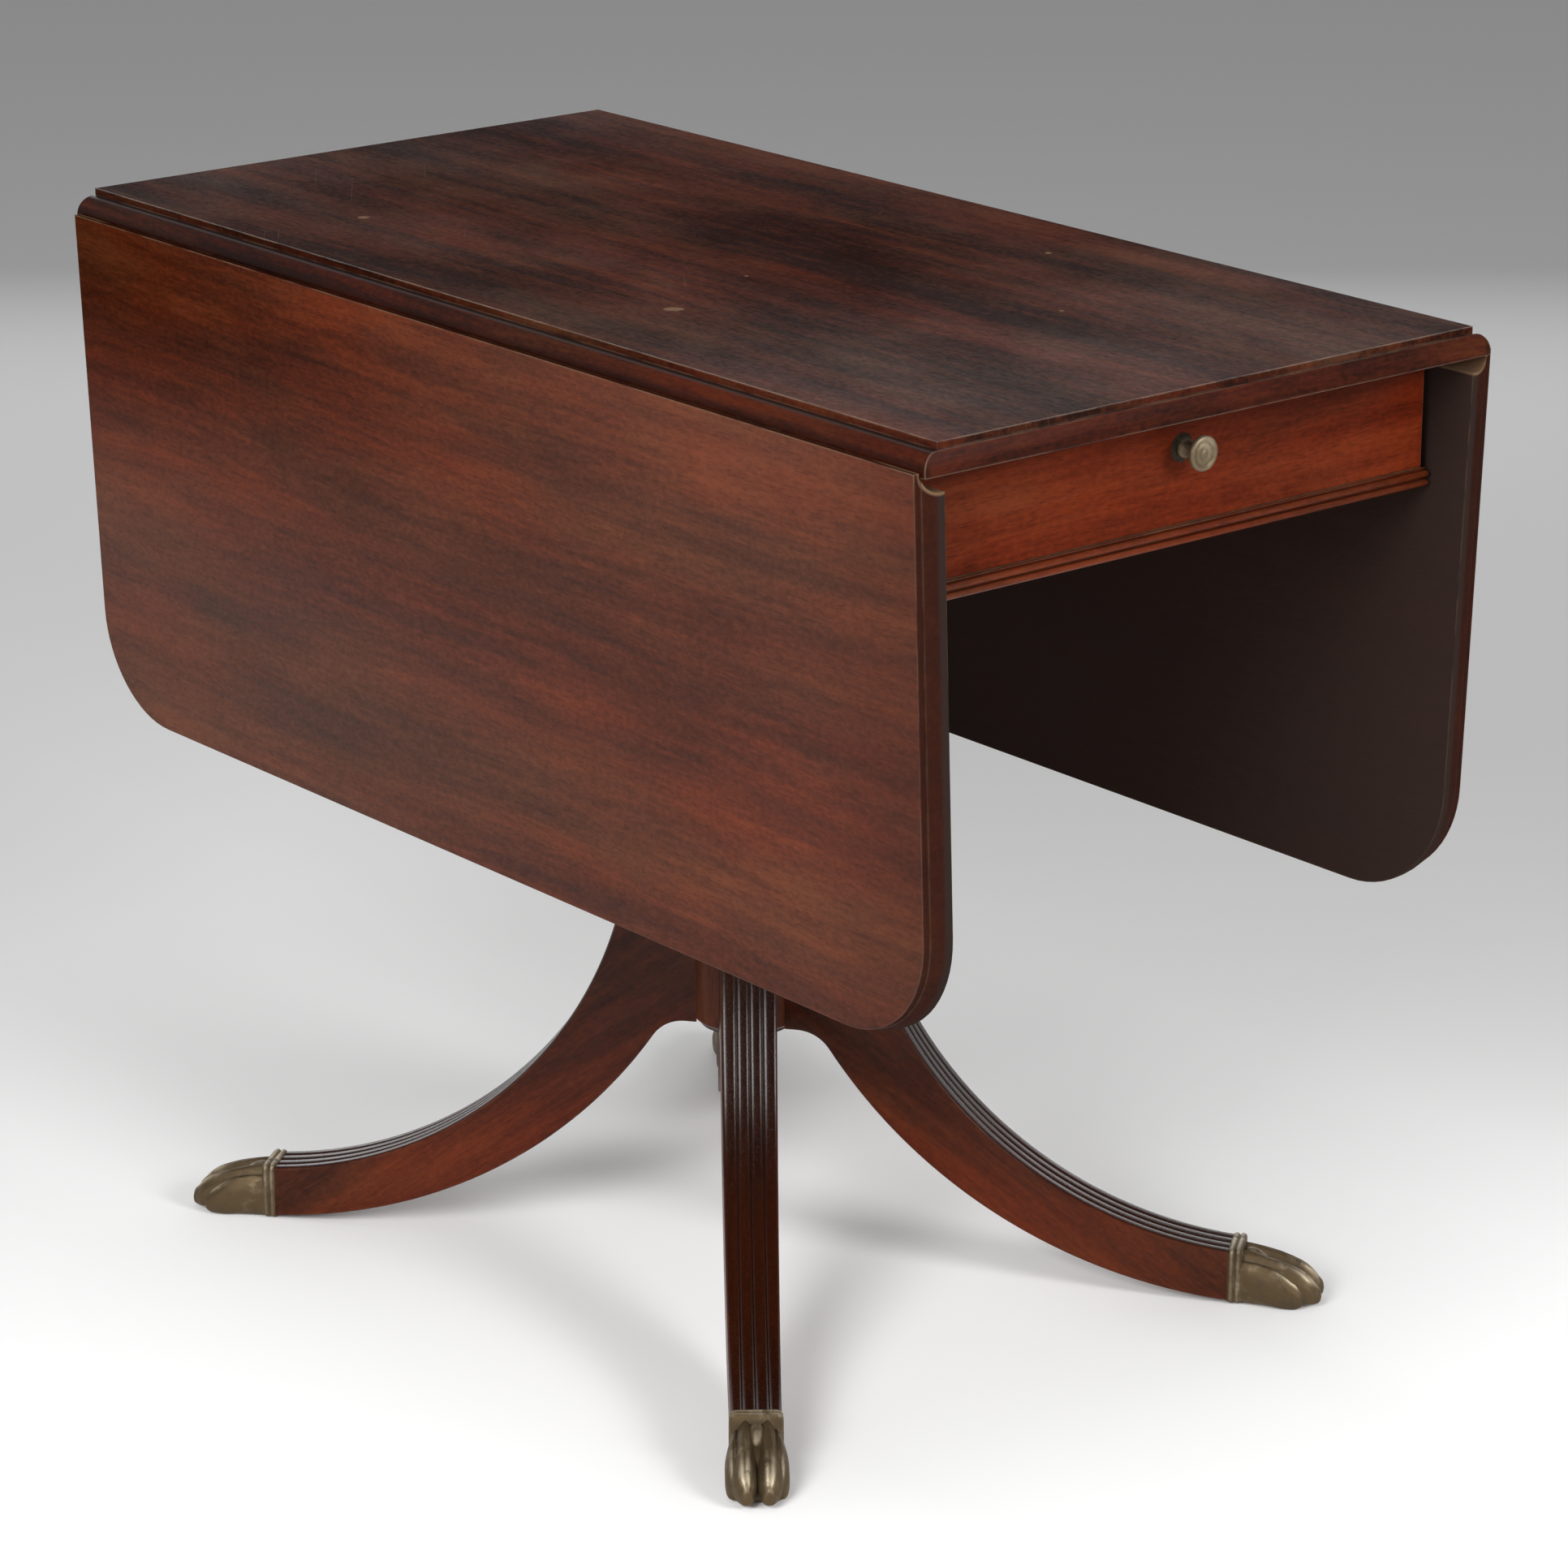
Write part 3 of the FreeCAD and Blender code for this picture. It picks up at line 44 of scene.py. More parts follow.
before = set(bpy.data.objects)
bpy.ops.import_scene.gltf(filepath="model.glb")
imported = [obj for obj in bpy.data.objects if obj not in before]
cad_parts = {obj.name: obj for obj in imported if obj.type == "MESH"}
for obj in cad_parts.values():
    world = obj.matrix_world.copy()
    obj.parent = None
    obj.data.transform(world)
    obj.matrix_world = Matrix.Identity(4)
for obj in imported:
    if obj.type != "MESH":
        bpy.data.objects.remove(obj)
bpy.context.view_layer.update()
MM = 0.001

# The plan angle of each leg from +X, in degrees.
LEG_ANGLES = {"front": -38.1, "right": 38.1, "left": -141.9, "rear": 141.9}

# Nodes of like finish, whose grain runs the same way.
LEAF_BOARDS = ("leaf_board_near", "leaf_board_far")
SIDE_MOULDINGS = ("base_moulding_near", "base_moulding_far")
END_RAILS = ("back_rail", "base_moulding_back")
PLAIN_LONG = (
    "inner_rail_near", "inner_rail_far", "outer_rail_near", "outer_rail_far", "kicker_near",
    "kicker_far", "leaf_bracket_near", "leaf_bracket_far", "drawer_side_near", "drawer_side_far",
    "base_board", "column_cleat",
)
PLAIN_CROSS = ("drawer_back", "drawer_bottom", "drawer_stop")
IRON_NODES = tuple(
    f"hinge_{part}_{side}_{end}"
    for part in ("fixed_plate", "leaf_plate", "pin") for side in ("near", "far") for end in ("a", "b")
) + (
    "hinge_screws_top", "hinge_screws_leaf_near", "hinge_screws_leaf_far", "bracket_pin_near",
    "bracket_pin_far", "top_screws", "cleat_screws", "hub_plate", "hub_screws",
)

# The turn that lays the grain across the table, and how steeply a leg's grain falls, in degrees.
CROSS_GRAIN = ((0.0, 0.0, math.radians(90)),)
LEG_FALL = 36

# Where the top's field ends, where its rolls start below the field, and the axis of a leaf's hinges.
FIELD_END = 0.4600
FIELD_UP = 0.738
ROLL_UP = 0.7340
HINGE_OUT, HINGE_UP = 0.2285, 0.721
LEAF_LEAN = 0.0367

# The pale spots of the top: x, y and radius.
TOP_SPOTS = ((0.098, -0.139, 0.0075), (-0.257, -0.135, 0.0050), (0.262, 0.052, 0.0030))

# How strongly the outer film shows on worn arrises.
ARRIS_FILM = {"top": 1.2, "leg": 0.25}
PLAIN_ARRIS_FILM = 0.5

# The point that the camera looks at, and the width of its sensor in mm.
CAMERA_TARGET = (0.016924, 0.020568, 0.357522)
SENSOR_WIDTH = 36.0

# The forms of a paw: x, y, z, half width and half height of its sections in mm.
INSTEP = (
    (360, 0, 16.6, 17.2, 16.6), (370, 0, 15.8, 18.4, 15.8), (380, 0, 14.6, 19.5, 14.6),
    (390, 0, 12.6, 20.1, 12.58), (398, 0, 9.0, 19.2, 9.0), (403, 0, 6.0, 16.5, 5.8),
    (405, 0, 5.0, 11.0, 4.0), (405.5, 0, 5.0, 0.1, 0.1),
)
LONG_TOE = (
    (356, 7.0, 27.0, 5.6, 12.6), (369, 7.4, 24.6, 7.2, 13.2), (381, 7.8, 21.6, 8.2, 13.4),
    (392, 8.1, 18.4, 8.7, 13.0), (402, 8.2, 15.2, 8.6, 12.0), (409, 8.1, 12.4, 7.8, 10.0),
    (414, 7.5, 10.0, 5.3, 7.2), (416.8, 7.4, 9.0, 3.6, 4.5), (417.8, 7.3, 8.6, 0.1, 0.1),
)
SET_BACK_TOE = (
    (356, 12.8, 20.5, 3.8, 11.6), (369, 14.0, 18.8, 5.2, 13.6), (380, 14.9, 16.4, 6.0, 14.0),
    (389, 15.2, 13.8, 6.0, 13.0), (397, 15.1, 11.0, 5.9, 10.4), (402, 14.9, 9.2, 5.0, 8.0),
    (405.4, 14.7, 8.2, 3.4, 4.8), (406.4, 14.5, 7.8, 0.1, 0.1),
)
BOSS = (
    (360, 0, 33.0, 0.1, 0.1), (361.2, 0, 33.2, 3.4, 3.4), (366, 0, 33.2, 5.4, 5.0),
    (372, 0, 31.6, 5.2, 5.0), (378, 0, 29.2, 3.4, 3.2), (380.5, 0, 28.0, 0.1, 0.1),
)

# The column's turning: share of its height, share of its widest radius, and for an arc to the next row
# its radius over its chord and the way it bends.
COLUMN_ROWS = (
    (0.000, 0.86, None, 0), (0.016, 0.95, 0.60, 1), (0.066, 0.95, None, 0), (0.082, 0.74, 0.85, -1),
    (0.150, 0.56, None, 0), (0.166, 0.56, 0.78, 1), (0.350, 1.00, 2.60, 1), (0.430, 0.92, 2.90, -1),
    (0.790, 0.45, None, 0), (0.806, 0.57, 0.62, 1), (0.850, 0.57, None, 0), (0.866, 0.47, 1.10, -1),
    (0.960, 0.78, None, 0), (1.000, 0.78, None, 0),
)

# The knob's turning: shares of its radius and of its reach.
KNOB_ROWS = (
    (0.55, 0.00), (0.55, 0.10), (0.50, 0.135), (0.42, 0.20), (0.37, 0.32), (0.36, 0.46), (0.42, 0.58),
    (0.58, 0.69), (0.82, 0.765), (0.95, 0.81), (0.99, 0.85), (1.00, 0.89), (0.99, 0.94),
    (0.96, 0.975), (0.90, 0.998), (0.80, 1.00), (0.745, 0.995), (0.72, 0.975), (0.685, 0.958),
    (0.64, 0.956), (0.60, 0.968), (0.57, 0.99), (0.52, 1.00), (0.40, 0.995), (0.30, 0.985),
    (0.25, 0.975), (0.21, 0.985), (0.17, 1.00), (0.10, 1.005), (0.01, 1.006),
)


# Settings

def colour(name, description, value):
    """A colour setting, in linear light."""
    return FloatVectorProperty(
        name=name, description=description, default=value, subtype="COLOR", size=3, min=0, max=1
    )


def number(name, description, value, **more):
    """A number setting."""
    return FloatProperty(name=name, description=description, default=value, **more)


def length(name, description, value):
    """A length setting, in metres."""
    return number(name, description, value, subtype="DISTANCE", unit="LENGTH", min=0, precision=4)


def power(name, description, value):
    """The power setting of a lamp, in watts."""
    return number(name, description, value, subtype="POWER", min=0)


class TableFinishes(bpy.types.PropertyGroup):
    """Colours and gloss of the timber and the metal."""

    heart: colour("Heartwood", "Dark streaks of the mahogany", (0.0312, 0.0069, 0.0030))
    red: colour("Red", "Main colour of the mahogany", (0.1030, 0.0203, 0.0063))
    amber: colour("Amber", "Bright streaks of the mahogany", (0.1950, 0.0424, 0.0111))
    bare: colour("Bare wood", "Worn arrises and unfinished end grain", (0.210, 0.125, 0.070))
    # Painted shade: the leaves' inner faces take this near-black colour for the shadow they hang in.
    inner_shade: colour("Stained inside", "Inner faces of the leaves", (0.0250, 0.0162, 0.0138))
    # Painted reflection: a pale haze laid into a leaf's colour where its polish mask is strong.
    painted_haze: colour("Dulled polish", "Where the polish of a leaf has gone dull", (0.134, 0.0940, 0.0820))
    plain_dark: colour("Plain wood dark", "Dark grain of the inside timber", (0.117, 0.066, 0.033))
    plain_pale: colour("Plain wood pale", "Pale grain of the inside timber", (0.257, 0.168, 0.090))
    tarnish: colour("Tarnish", "Brass in the hollows", (0.100, 0.066, 0.031))
    brass: colour("Brass", "Brass where hands and shoes rub it", (0.560, 0.470, 0.330))
    iron_dark: colour("Iron", "Hinges and screws", (0.060, 0.055, 0.050))
    iron_rust: colour("Rust", "Spots on the iron", (0.110, 0.050, 0.022))
    grain_width: length("Grain width", "Width of the broad streaks", 0.046)
    polish: number("Polish", "Roughness of the rubbed finish", 0.34, subtype="FACTOR", min=0.05, max=1)


class TableShapes(bpy.types.PropertyGroup):
    """Sizes of the shapes worked out here: those of the solids, but for the reeds' depth."""

    leg_reach: length("Sabre reach", "From the column's axis to the lowest point of the sweeps", 0.377)
    upper_sweep: length("Upper sweep", "Radius of the leg's upper sweep", 0.297)
    lower_sweep: length("Lower sweep", "Radius of the leg's lower sweep", 0.375)
    upper_rise: length("Upper rise", "Lowest point of the upper sweep", 0.040)
    lower_rise: length("Lower rise", "Lowest point of the lower sweep", 0.002)
    head_width: length("Head width", "Width of a leg at the column", 0.041)
    ankle_width: length("Ankle width", "Width of a leg at its cap", 0.0336)
    reed_width: length("Reed width", "Width of a middle reed", 0.009)
    reed_depth: length("Reed depth", "Height of a reed's crest over its grooves", 0.0014)
    hub_radius: length("Hub radius", "Radius of the column's hub", 0.038)
    column_radius: length("Column radius", "Widest radius of the column's urn", 0.054)
    knob_radius: length("Knob radius", "Radius of the drawer's knob", 0.0115)
    knob_reach: length("Knob reach", "From the rosette to the knob's face", 0.019)
    round_steps: IntProperty(
        name="Round steps", description="Steps round a turned piece", default=96, min=24, max=256
    )


class TableStage(bpy.types.PropertyGroup):
    """Floor, light and camera."""

    # The floor's near and far colours paint a pool of light round the table.
    floor_near: colour("Floor", "Floor under the table", (0.97, 0.97, 0.97))
    floor_far: colour("Far floor", "Floor far behind the table", (0.62, 0.62, 0.62))
    backdrop: colour("Backdrop", "What the camera sees past the floor", (0.235, 0.235, 0.235))
    floor_radius: length("Floor radius", "How far the floor reaches", 16.0)
    azimuth: number(
        "Azimuth", "Where the camera stands, from the near side to the drawer end",
        math.radians(50.553), subtype="ANGLE",
    )
    elevation: number(
        "Elevation", "How far the camera looks down", math.radians(18.614), subtype="ANGLE"
    )
    distance: length("Distance", "From the camera to the point it looks at", 3.634456)
    lens: number("Lens", "Focal length on a 36 mm sensor", 118.737, subtype="DISTANCE_CAMERA", min=10)
    key_power: power("Key light", "Power of the lamp at the camera's left", 80)
    top_power: power("Top light", "Power of the lamp over the table", 16)
    fill_power: power("Fill light", "Power of the lamp at the camera's right", 40)
    strip_power: power("Strip light", "Power of the low strip lamp behind the table", 14)
    ambient: number("Ambient", "Strength of the light from the horizon", 1.25, min=0, max=2)
    zenith: number("Zenith", "Strength of the light from straight above", 0.14, min=0, max=2)


# Shader wires

class Wire:
    """One output of a tree of shader nodes. Sums and products of wires add Math nodes."""

    def __init__(self, tree, socket=None):
        self.tree = tree
        self.socket = socket

    def node(self, kind, settings=None, sockets=None, output=0):
        """Add a node: its settings first, then the values or wires of its sockets."""
        made = self.tree.nodes.new(kind)
        for key, value in (settings or {}).items():
            if key == "stops":
                elements = made.color_ramp.elements
                while len(elements) < len(value):
                    elements.new(1.0)
                for element, (position, tone) in zip(elements, value):
                    element.position = position
                    element.color = (*tone, 1.0)
            else:
                setattr(made, key, value)
        plug(made, sockets or {})
        return Wire(self.tree, made.outputs[output])

    def maths(self, operation, first, second=0.0):
        """A Math node of two values."""
        return self.node("ShaderNodeMath", {"operation": operation}, {0: first, 1: second})

    def __add__(self, other):
        return self.maths("ADD", self, other)

    __radd__ = __add__

    def __sub__(self, other):
        return self.maths("SUBTRACT", self, other)

    def __rsub__(self, other):
        return self.maths("SUBTRACT", other, self)

    def __mul__(self, other):
        return self.maths("MULTIPLY", self, other)

    __rmul__ = __mul__

    def __pow__(self, other):
        return self.maths("POWER", self, other)

    def __abs__(self):
        return self.maths("ABSOLUTE", self)

    def step(self, low, high):
        """0 below low, 1 above high, smooth between them; low may be the higher one."""
        return self.node(
            "ShaderNodeMapRange", {"interpolation_type": "SMOOTHSTEP"},
            {"Value": self, "From Min": low, "From Max": high},
        )

    def mix(self, first, second):
        """The first colour where this wire is 0, the second where it is 1."""
        tones = [c if isinstance(c, Wire) else (*c, 1.0) for c in (first, second)]
        return self.node("ShaderNodeMix", {"data_type": "RGBA"}, {0: self, 6: tones[0], 7: tones[1]}, 2)

    def times(self, tone):
        """This colour times another wire's, channel by channel."""
        return self.node(
            "ShaderNodeMix", {"data_type": "RGBA", "blend_type": "MULTIPLY"},
            {0: 1.0, 6: self, 7: tone}, 2,
        )

    def vector(self, operation, other, output=0):
        """A Vector Math node of this vector and another; its second output is a number."""
        return self.node("ShaderNodeVectorMath", {"operation": operation}, {0: self, 1: other}, output)

    def turned(self, rotation):
        """This vector turned about the three axes."""
        return self.node("ShaderNodeMapping", None, {"Vector": self, "Rotation": rotation})

    def apart(self):
        """The three numbers of this vector."""
        first = self.node("ShaderNodeSeparateXYZ", None, {0: self})
        return [Wire(self.tree, socket) for socket in first.socket.node.outputs]

    def noise(self, across, detail=3.0, rough=0.55):
        """Noise over this vector, with so many waves a metre along each axis."""
        return self.node("ShaderNodeTexNoise", None, {
            "Vector": self.vector("MULTIPLY", across), "Scale": 1.0, "Detail": detail,
            "Roughness": rough,
        })

    def bump(self, distance, normal):
        """The normal bumped by this height."""
        return self.node("ShaderNodeBump", None, {
            "Height": self, "Distance": distance, "Strength": 1.0, "Normal": normal,
        })


def looks():
    """The settings of the finishes."""
    return bpy.context.scene.table_finishes


def new_finish(name):
    """An empty material with a shader: the material, its shader node and a wire to start from."""
    material = bpy.data.materials.new(name)
    material.use_nodes = True
    tree = material.node_tree
    shader = next(n for n in tree.nodes if n.type == "BSDF_PRINCIPLED")
    return material, shader, Wire(tree)


def plug(node, sockets):
    """Feed a node's sockets: a wire is linked and a number or colour is set."""
    for key, value in sockets.items():
        if isinstance(value, Wire):
            value.tree.links.new(value.socket, node.inputs[key])
        else:
            node.inputs[key].default_value = value


def scaled(tone, share):
    """A colour times a number."""
    return [share * c for c in tone]


def halfway(first, second):
    """The colour halfway between two colours."""
    return [(a + b) / 2 for a, b in zip(first, second)]


def object_place(start):
    """The place of a point in the table's frame."""
    return start.node("ShaderNodeTexCoord", output="Object")


def facing(start, axis):
    """How far a face looks along one of the frame's axes."""
    return start.node("ShaderNodeTexCoord", output="Normal").apart()[axis]


def rounded_arrises(start, radius):
    """The normal, rounded over the arrises."""
    return start.node("ShaderNodeBevel", {"samples": 4}, {"Radius": radius})


def worn_edges(rounded):
    """A mask that is 1 on an arris, where the rounded normal leaves the true one, and 0 on a flat."""
    flat = rounded.node("ShaderNodeNewGeometry", output="Normal")
    return (1.0 - rounded.vector("DOT_PRODUCT", flat, "Value")).step(0.06, 0.26)


def hollows(start, reach):
    """A mask that is 1 deep in a hollow and 0 on an open surface."""
    open_sky = start.node("ShaderNodeAmbientOcclusion", {"samples": 4, "only_local": True},
                          {"Distance": reach}, output="AO")
    return (1.0 - open_sky).step(0.15, 0.75)


def grain_place(start, turns):
    """Object coordinates turned, one turn after another, until the grain runs along x."""
    place = object_place(start)
    for turn in turns:
        place = place.turned(turn)
    return place


def bent_grain(place, across, sway):
    """Coordinates moved sideways by slow noise, so that straight grain wanders."""
    bend = (place.noise(across, 2.0) - 0.5) * sway
    return place.vector("ADD", bend.node("ShaderNodeCombineXYZ", None, {1: bend, 2: bend}))


def figured_wood(place, tones, lift, mottle, contrast):
    """The figure of mahogany: its wood from three tones, and the noises that the film and relief need.

    It is a weighted sum of noises stretched along the bent grain, with clouds of weight mottle.
    contrast spreads the sum about its middle and lift moves it towards amber. Slow noise turns its
    hue, and pores are dark.
    """
    heart, red, amber = tones
    grain = bent_grain(place, (1.6, 5.0, 5.0), 0.05)
    across = 1.0 / looks().grain_width
    broad = grain.noise((1.8, across, across), 2.0, 0.5)
    streaks = grain.noise((4.5, across * 3.6, across * 3.6), 4.0, 0.6)
    flecks = grain.noise((14.0, across * 8, across * 8), 3.0, 0.6)
    fine = grain.noise((40.0, across * 20, across * 20), 3.0, 0.6)
    grit = place.noise((190.0, 330.0, 330.0), 2.0, 0.6)
    pores = grain.noise((70.0, 1500.0, 1500.0), 1.0, 0.5).step(0.60, 0.70)
    cloud = place.noise((3.4, 7.0, 7.0), 3.0, 0.6)
    parts = (
        (0.42, broad), (0.44, streaks), (0.24, flecks), (0.24, fine), (0.30, grit), (mottle, cloud),
    )
    tone = sum(share * (part - 0.5) for share, part in parts) * contrast + (0.5 + lift)
    wood = tone.node("ShaderNodeValToRGB", {"stops": [
        (0.26, heart), (0.42, halfway(heart, red)), (0.54, red), (0.70, halfway(red, amber)),
        (0.88, amber),
    ]}, {"Fac": tone})
    hue = grain.noise((2.6, 10.0, 10.0), 3.0, 0.6).step(0.34, 0.66)
    wood = wood.times(hue.mix((1.06, 0.82, 0.66), (0.92, 1.20, 1.36)))
    wood = (pores * 0.45).mix(wood, heart)
    return SimpleNamespace(
        wood=wood, heart=heart, streaks=streaks, fine=fine, grit=grit, pores=pores, cloud=cloud
    )


def mahogany(name, turns=(), lift=0.0, shade=1.0, tint=(1, 1, 1), sheen=0.12, mottle=0.35,
             contrast=1.0, arris=0.0014, wear_and_highlight=0.6, varnish=0.34, kind=None):
    """Polished mahogany with its grain along x after the turns.

    lift, mottle and contrast are those of the figure. shade and tint colour the polish, sheen is how
    much it mirrors and varnish the roughness of its outer film. Arrises are painted pale by
    wear_and_highlight, partly as wear to bare wood and partly as a painted highlight along them, and
    hollows keep dark polish. The kind adds what only the top, a leaf, a leg or the drawer has.
    """
    look = looks()
    raw = (look.heart, look.red, look.amber)
    tones = [[shade * t * c for t, c in zip(tint, tone)] for tone in raw]
    material, shader, start = new_finish(name)
    place = grain_place(start, turns)
    if kind == "top":
        place = crossed_ends(place)
    finish = figured_wood(place, tones, lift, mottle, contrast)
    rounded = rounded_arrises(start, arris)
    deep = hollows(start, 0.006)
    finish.wood = (deep * 0.75).mix(finish.wood, scaled(finish.heart, 0.5))
    finish.edge = worn_edges(rounded) * (1.0 - deep)
    finish.gloss = look.polish + (finish.fine - 0.5) * 0.22 + finish.pores * 0.12
    finish.film = finish.edge * ARRIS_FILM.get(kind, PLAIN_ARRIS_FILM)
    if kind:
        OWN_FINISHES[kind](start, finish)
    patchy = place.noise((25.0, 40.0, 40.0), 3.0).step(0.36, 0.56)
    relief = finish.streaks * 0.25 + finish.fine * 0.45 + finish.grit * 0.25 - finish.pores * 0.7
    # Arrises are painted pale towards the bare colour: partly wear and partly a painted highlight.
    plug(shader, {
        "Base Color": (finish.edge * patchy * wear_and_highlight).mix(finish.wood, look.bare),
        "Roughness": finish.gloss, "Coat Weight": finish.film, "Coat Roughness": varnish,
        "Normal": relief.bump(0.00012, rounded), "Specular IOR Level": sheen,
    })
    return material


def top_finish(start, finish):
    """What only the top has: dark ledges round its field, a darker band low over the joints, marks and
    a milky film.

    The film thickens towards both ends and the near side, and varies with the clouds and the grit.
    """
    look = looks()
    place = object_place(start)
    along, out, up = place.apart()
    roll = up.step(ROLL_UP + 0.0005, ROLL_UP - 0.0005)
    ledge = roll * facing(start, 2).step(0.90, 0.98)
    wood = finish.wood.times(roll.mix((1.0, 1.0, 1.0), (0.86, 0.72, 0.68)))
    # Darker towards the heartwood colour in a band low on the side rolls, over the joints with the
    # leaves.
    joint_band = abs(out).step(0.2335, 0.2385) * up.step(0.7285, 0.7235)
    wood = (joint_band * 0.55).mix(wood, scaled(finish.heart, 0.4))
    wood = (top_marks(place) * (1.0 - roll)).mix(wood, look.bare)
    finish.wood = ledge.mix(wood, scaled(finish.heart, 0.6))
    rubbed = place.noise((7.0, 9.0, 9.0), 5.0, 0.65).step(0.50, 0.72)
    finish.gloss = finish.gloss + rubbed * 0.12
    haze = 0.05 + along.step(0.05, 0.46) * 0.13
    haze = haze + along.step(-0.25, -0.46) * 0.04 + out.step(0.0, -0.23) * 0.03
    milky = haze * (finish.grit + 0.5) * (1.0 - roll) * (finish.cloud * 2.0)
    finish.film = finish.film + milky + roll * 0.26 + ledge


def leaf_finish(start, finish):
    """What only a leaf has: a pale painted reflection haze, dark borders, an inner face coloured with
    painted shade, and bare coves.
    """
    look = looks()
    inner, border, cove, lip, polish = leaf_masks(start)
    # Painted reflection: a pale haze mixed into the colour where the polish mask is strong.
    wood = (polish * (0.48 + finish.grit * 0.40)).mix(finish.wood, look.painted_haze)
    wood = (border * 0.80).mix(wood, scaled(finish.heart, 0.6))
    # Painted shade on the inner face; the coves are worn bare.
    finish.wood = cove.mix((inner * 0.94).mix(wood, look.inner_shade), look.bare)
    finish.gloss = finish.gloss + inner * 0.20
    finish.film = (finish.film + polish * 0.25) * (1.0 - inner * 0.8)
    finish.edge = finish.edge * (0.30 + lip * 0.70)


def leg_finish(start, finish):
    """What only a leg has: glossy dark reeds, and a redder foot that starts 200 mm up."""
    reeded = start.node("ShaderNodeAttribute", {"attribute_name": "reeded"}, output="Fac")
    foot = object_place(start).apart()[2].step(0.20, 0.03)
    wood = (reeded * 0.80).mix(finish.wood, scaled(finish.heart, 0.55))
    finish.wood = wood.times(foot.mix((0.80, 0.86, 0.84), (1.24, 1.09, 0.86)))
    finish.gloss = finish.gloss - reeded * 0.12
    finish.film = finish.film + reeded * 0.38
    finish.edge = finish.edge * (1.0 - reeded)


def drawer_finish(start, finish):
    """What only the drawer's front has: painted shade along its upper edge, under the top's overhang.
    """
    up = object_place(start).apart()[2]
    # Painted shade: darker towards the heartwood colour over the upper 28 mm, under the top's overhang.
    finish.wood = (up.step(0.684, 0.712) * 0.55).mix(finish.wood, finish.heart)


OWN_FINISHES = {"top": top_finish, "leaf": leaf_finish, "leg": leg_finish, "drawer": drawer_finish}


def crossed_ends(place):
    """Coordinates whose x and y change places past the field's ends, for the end mouldings' grain."""
    turned = place.turned(CROSS_GRAIN[0])
    along = place.apart()[0]
    past = abs(along).step(FIELD_END, FIELD_END + 0.0003)
    return past.node("ShaderNodeMix", {"data_type": "VECTOR"}, {0: past, 4: place, 5: turned}, 1)


def top_marks(place):
    """A mask of slanting scratches, scattered pale specks, single spots and a faint rubbed haze."""
    scratch = place.turned((0.0, 0.0, 0.62)).noise((6.0, 900.0, 4.0), 2.0, 0.4).step(0.70, 0.76)
    scratch = scratch * place.noise((5.0, 5.0, 5.0), 1.0).step(0.52, 0.62)
    specks = place.node("ShaderNodeTexVoronoi", None, {"Vector": place, "Scale": 11.0}, "Distance")
    specks = specks.step(0.030, 0.018) * place.noise((4.0, 4.0, 4.0), 0.0).step(0.46, 0.52)
    haze = place.noise((7.0, 9.0, 9.0), 5.0, 0.65).step(0.52, 0.72)
    ragged = (place.noise((130.0, 130.0, 130.0), 3.0, 0.6) - 0.5) * 0.008
    for x, y, radius in TOP_SPOTS:
        away = place.vector("DISTANCE", (x, y, FIELD_UP), "Value")
        specks = specks + (away + ragged).step(radius, radius * 0.5) * 0.80
    return scratch * 0.22 + specks * 0.80 + haze * 0.08


def leaf_masks(start):
    """Masks of a hanging leaf: its inner half, borders, bare coves near the ends, upper lip and polish,
    whose colour is a painted reflection haze.

    The leaf leans in on its way down. A border faces away from y, or is darkened: the upper back corner
    and the drawer's end. A cove lies within 15 mm of the hinges' axis. The polish, a pale painted
    reflection haze in the colour and a thicker real film in the coat, thickens downwards at the back
    and is even at the drawer's end.
    """
    along, out, up = object_place(start).apart()
    far = abs(out)
    drop = HINGE_UP - up
    inner = (far + drop * LEAF_LEAN).step(0.2330, 0.2290)
    side = far - HINGE_OUT
    away = (side * side + drop * drop) ** 0.5
    end = abs(along).step(0.4150, 0.4350)
    cove = away.step(0.0155, 0.0135) * end * 0.6
    border = abs(facing(start, 1)).step(0.85, 0.45)
    # Darker at the upper back corner and towards the drawer's end.
    dark_areas = along.step(-0.25, -0.46) * drop.step(0.20, 0.03) * 0.55 + along.step(0.34, 0.46) * 0.28
    border = border.maths("MAXIMUM", border, dark_areas)
    lip = drop.step(0.012, 0.0)
    front = along.step(-0.42, 0.30)
    # This mask lays a painted reflection haze in the colour and also thickens the real film.
    polish = drop.step(0.02, 0.26) * (1.0 - front) * 0.42 + front * 0.25
    return inner, border, cove, lip, polish


def plain_wood(name, turns=()):
    """Unpolished inside timber: pale streaks along x after the turns, fine pores and dusty stains."""
    look = looks()
    material, shader, start = new_finish(name)
    place = grain_place(start, turns)
    grain = bent_grain(place, (1.5, 6.0, 6.0), 0.03)
    streaks = grain.noise((2.0, 55.0, 55.0), 4.0, 0.6)
    fine = grain.noise((14.0, 500.0, 500.0), 3.0, 0.6)
    dark_areas = place.noise((8.0, 11.0, 11.0), 4.0, 0.6)
    wood = (streaks * 0.8 + fine * 0.3 - 0.05).step(0.25, 0.80).mix(look.plain_dark, look.plain_pale)
    wood = (dark_areas.step(0.48, 0.78) * 0.5).mix(wood, scaled(look.plain_dark, 0.5))
    wood = (hollows(start, 0.010) * 0.6).mix(wood, scaled(look.plain_dark, 0.3))
    rounded = rounded_arrises(start, 0.0012)
    plug(shader, {
        "Base Color": wood, "Roughness": 0.62 + (fine - 0.5) * 0.3, "Specular IOR Level": 0.3,
        "Normal": (streaks * 0.4 + fine * 0.6).bump(0.00022, rounded),
    })
    return material


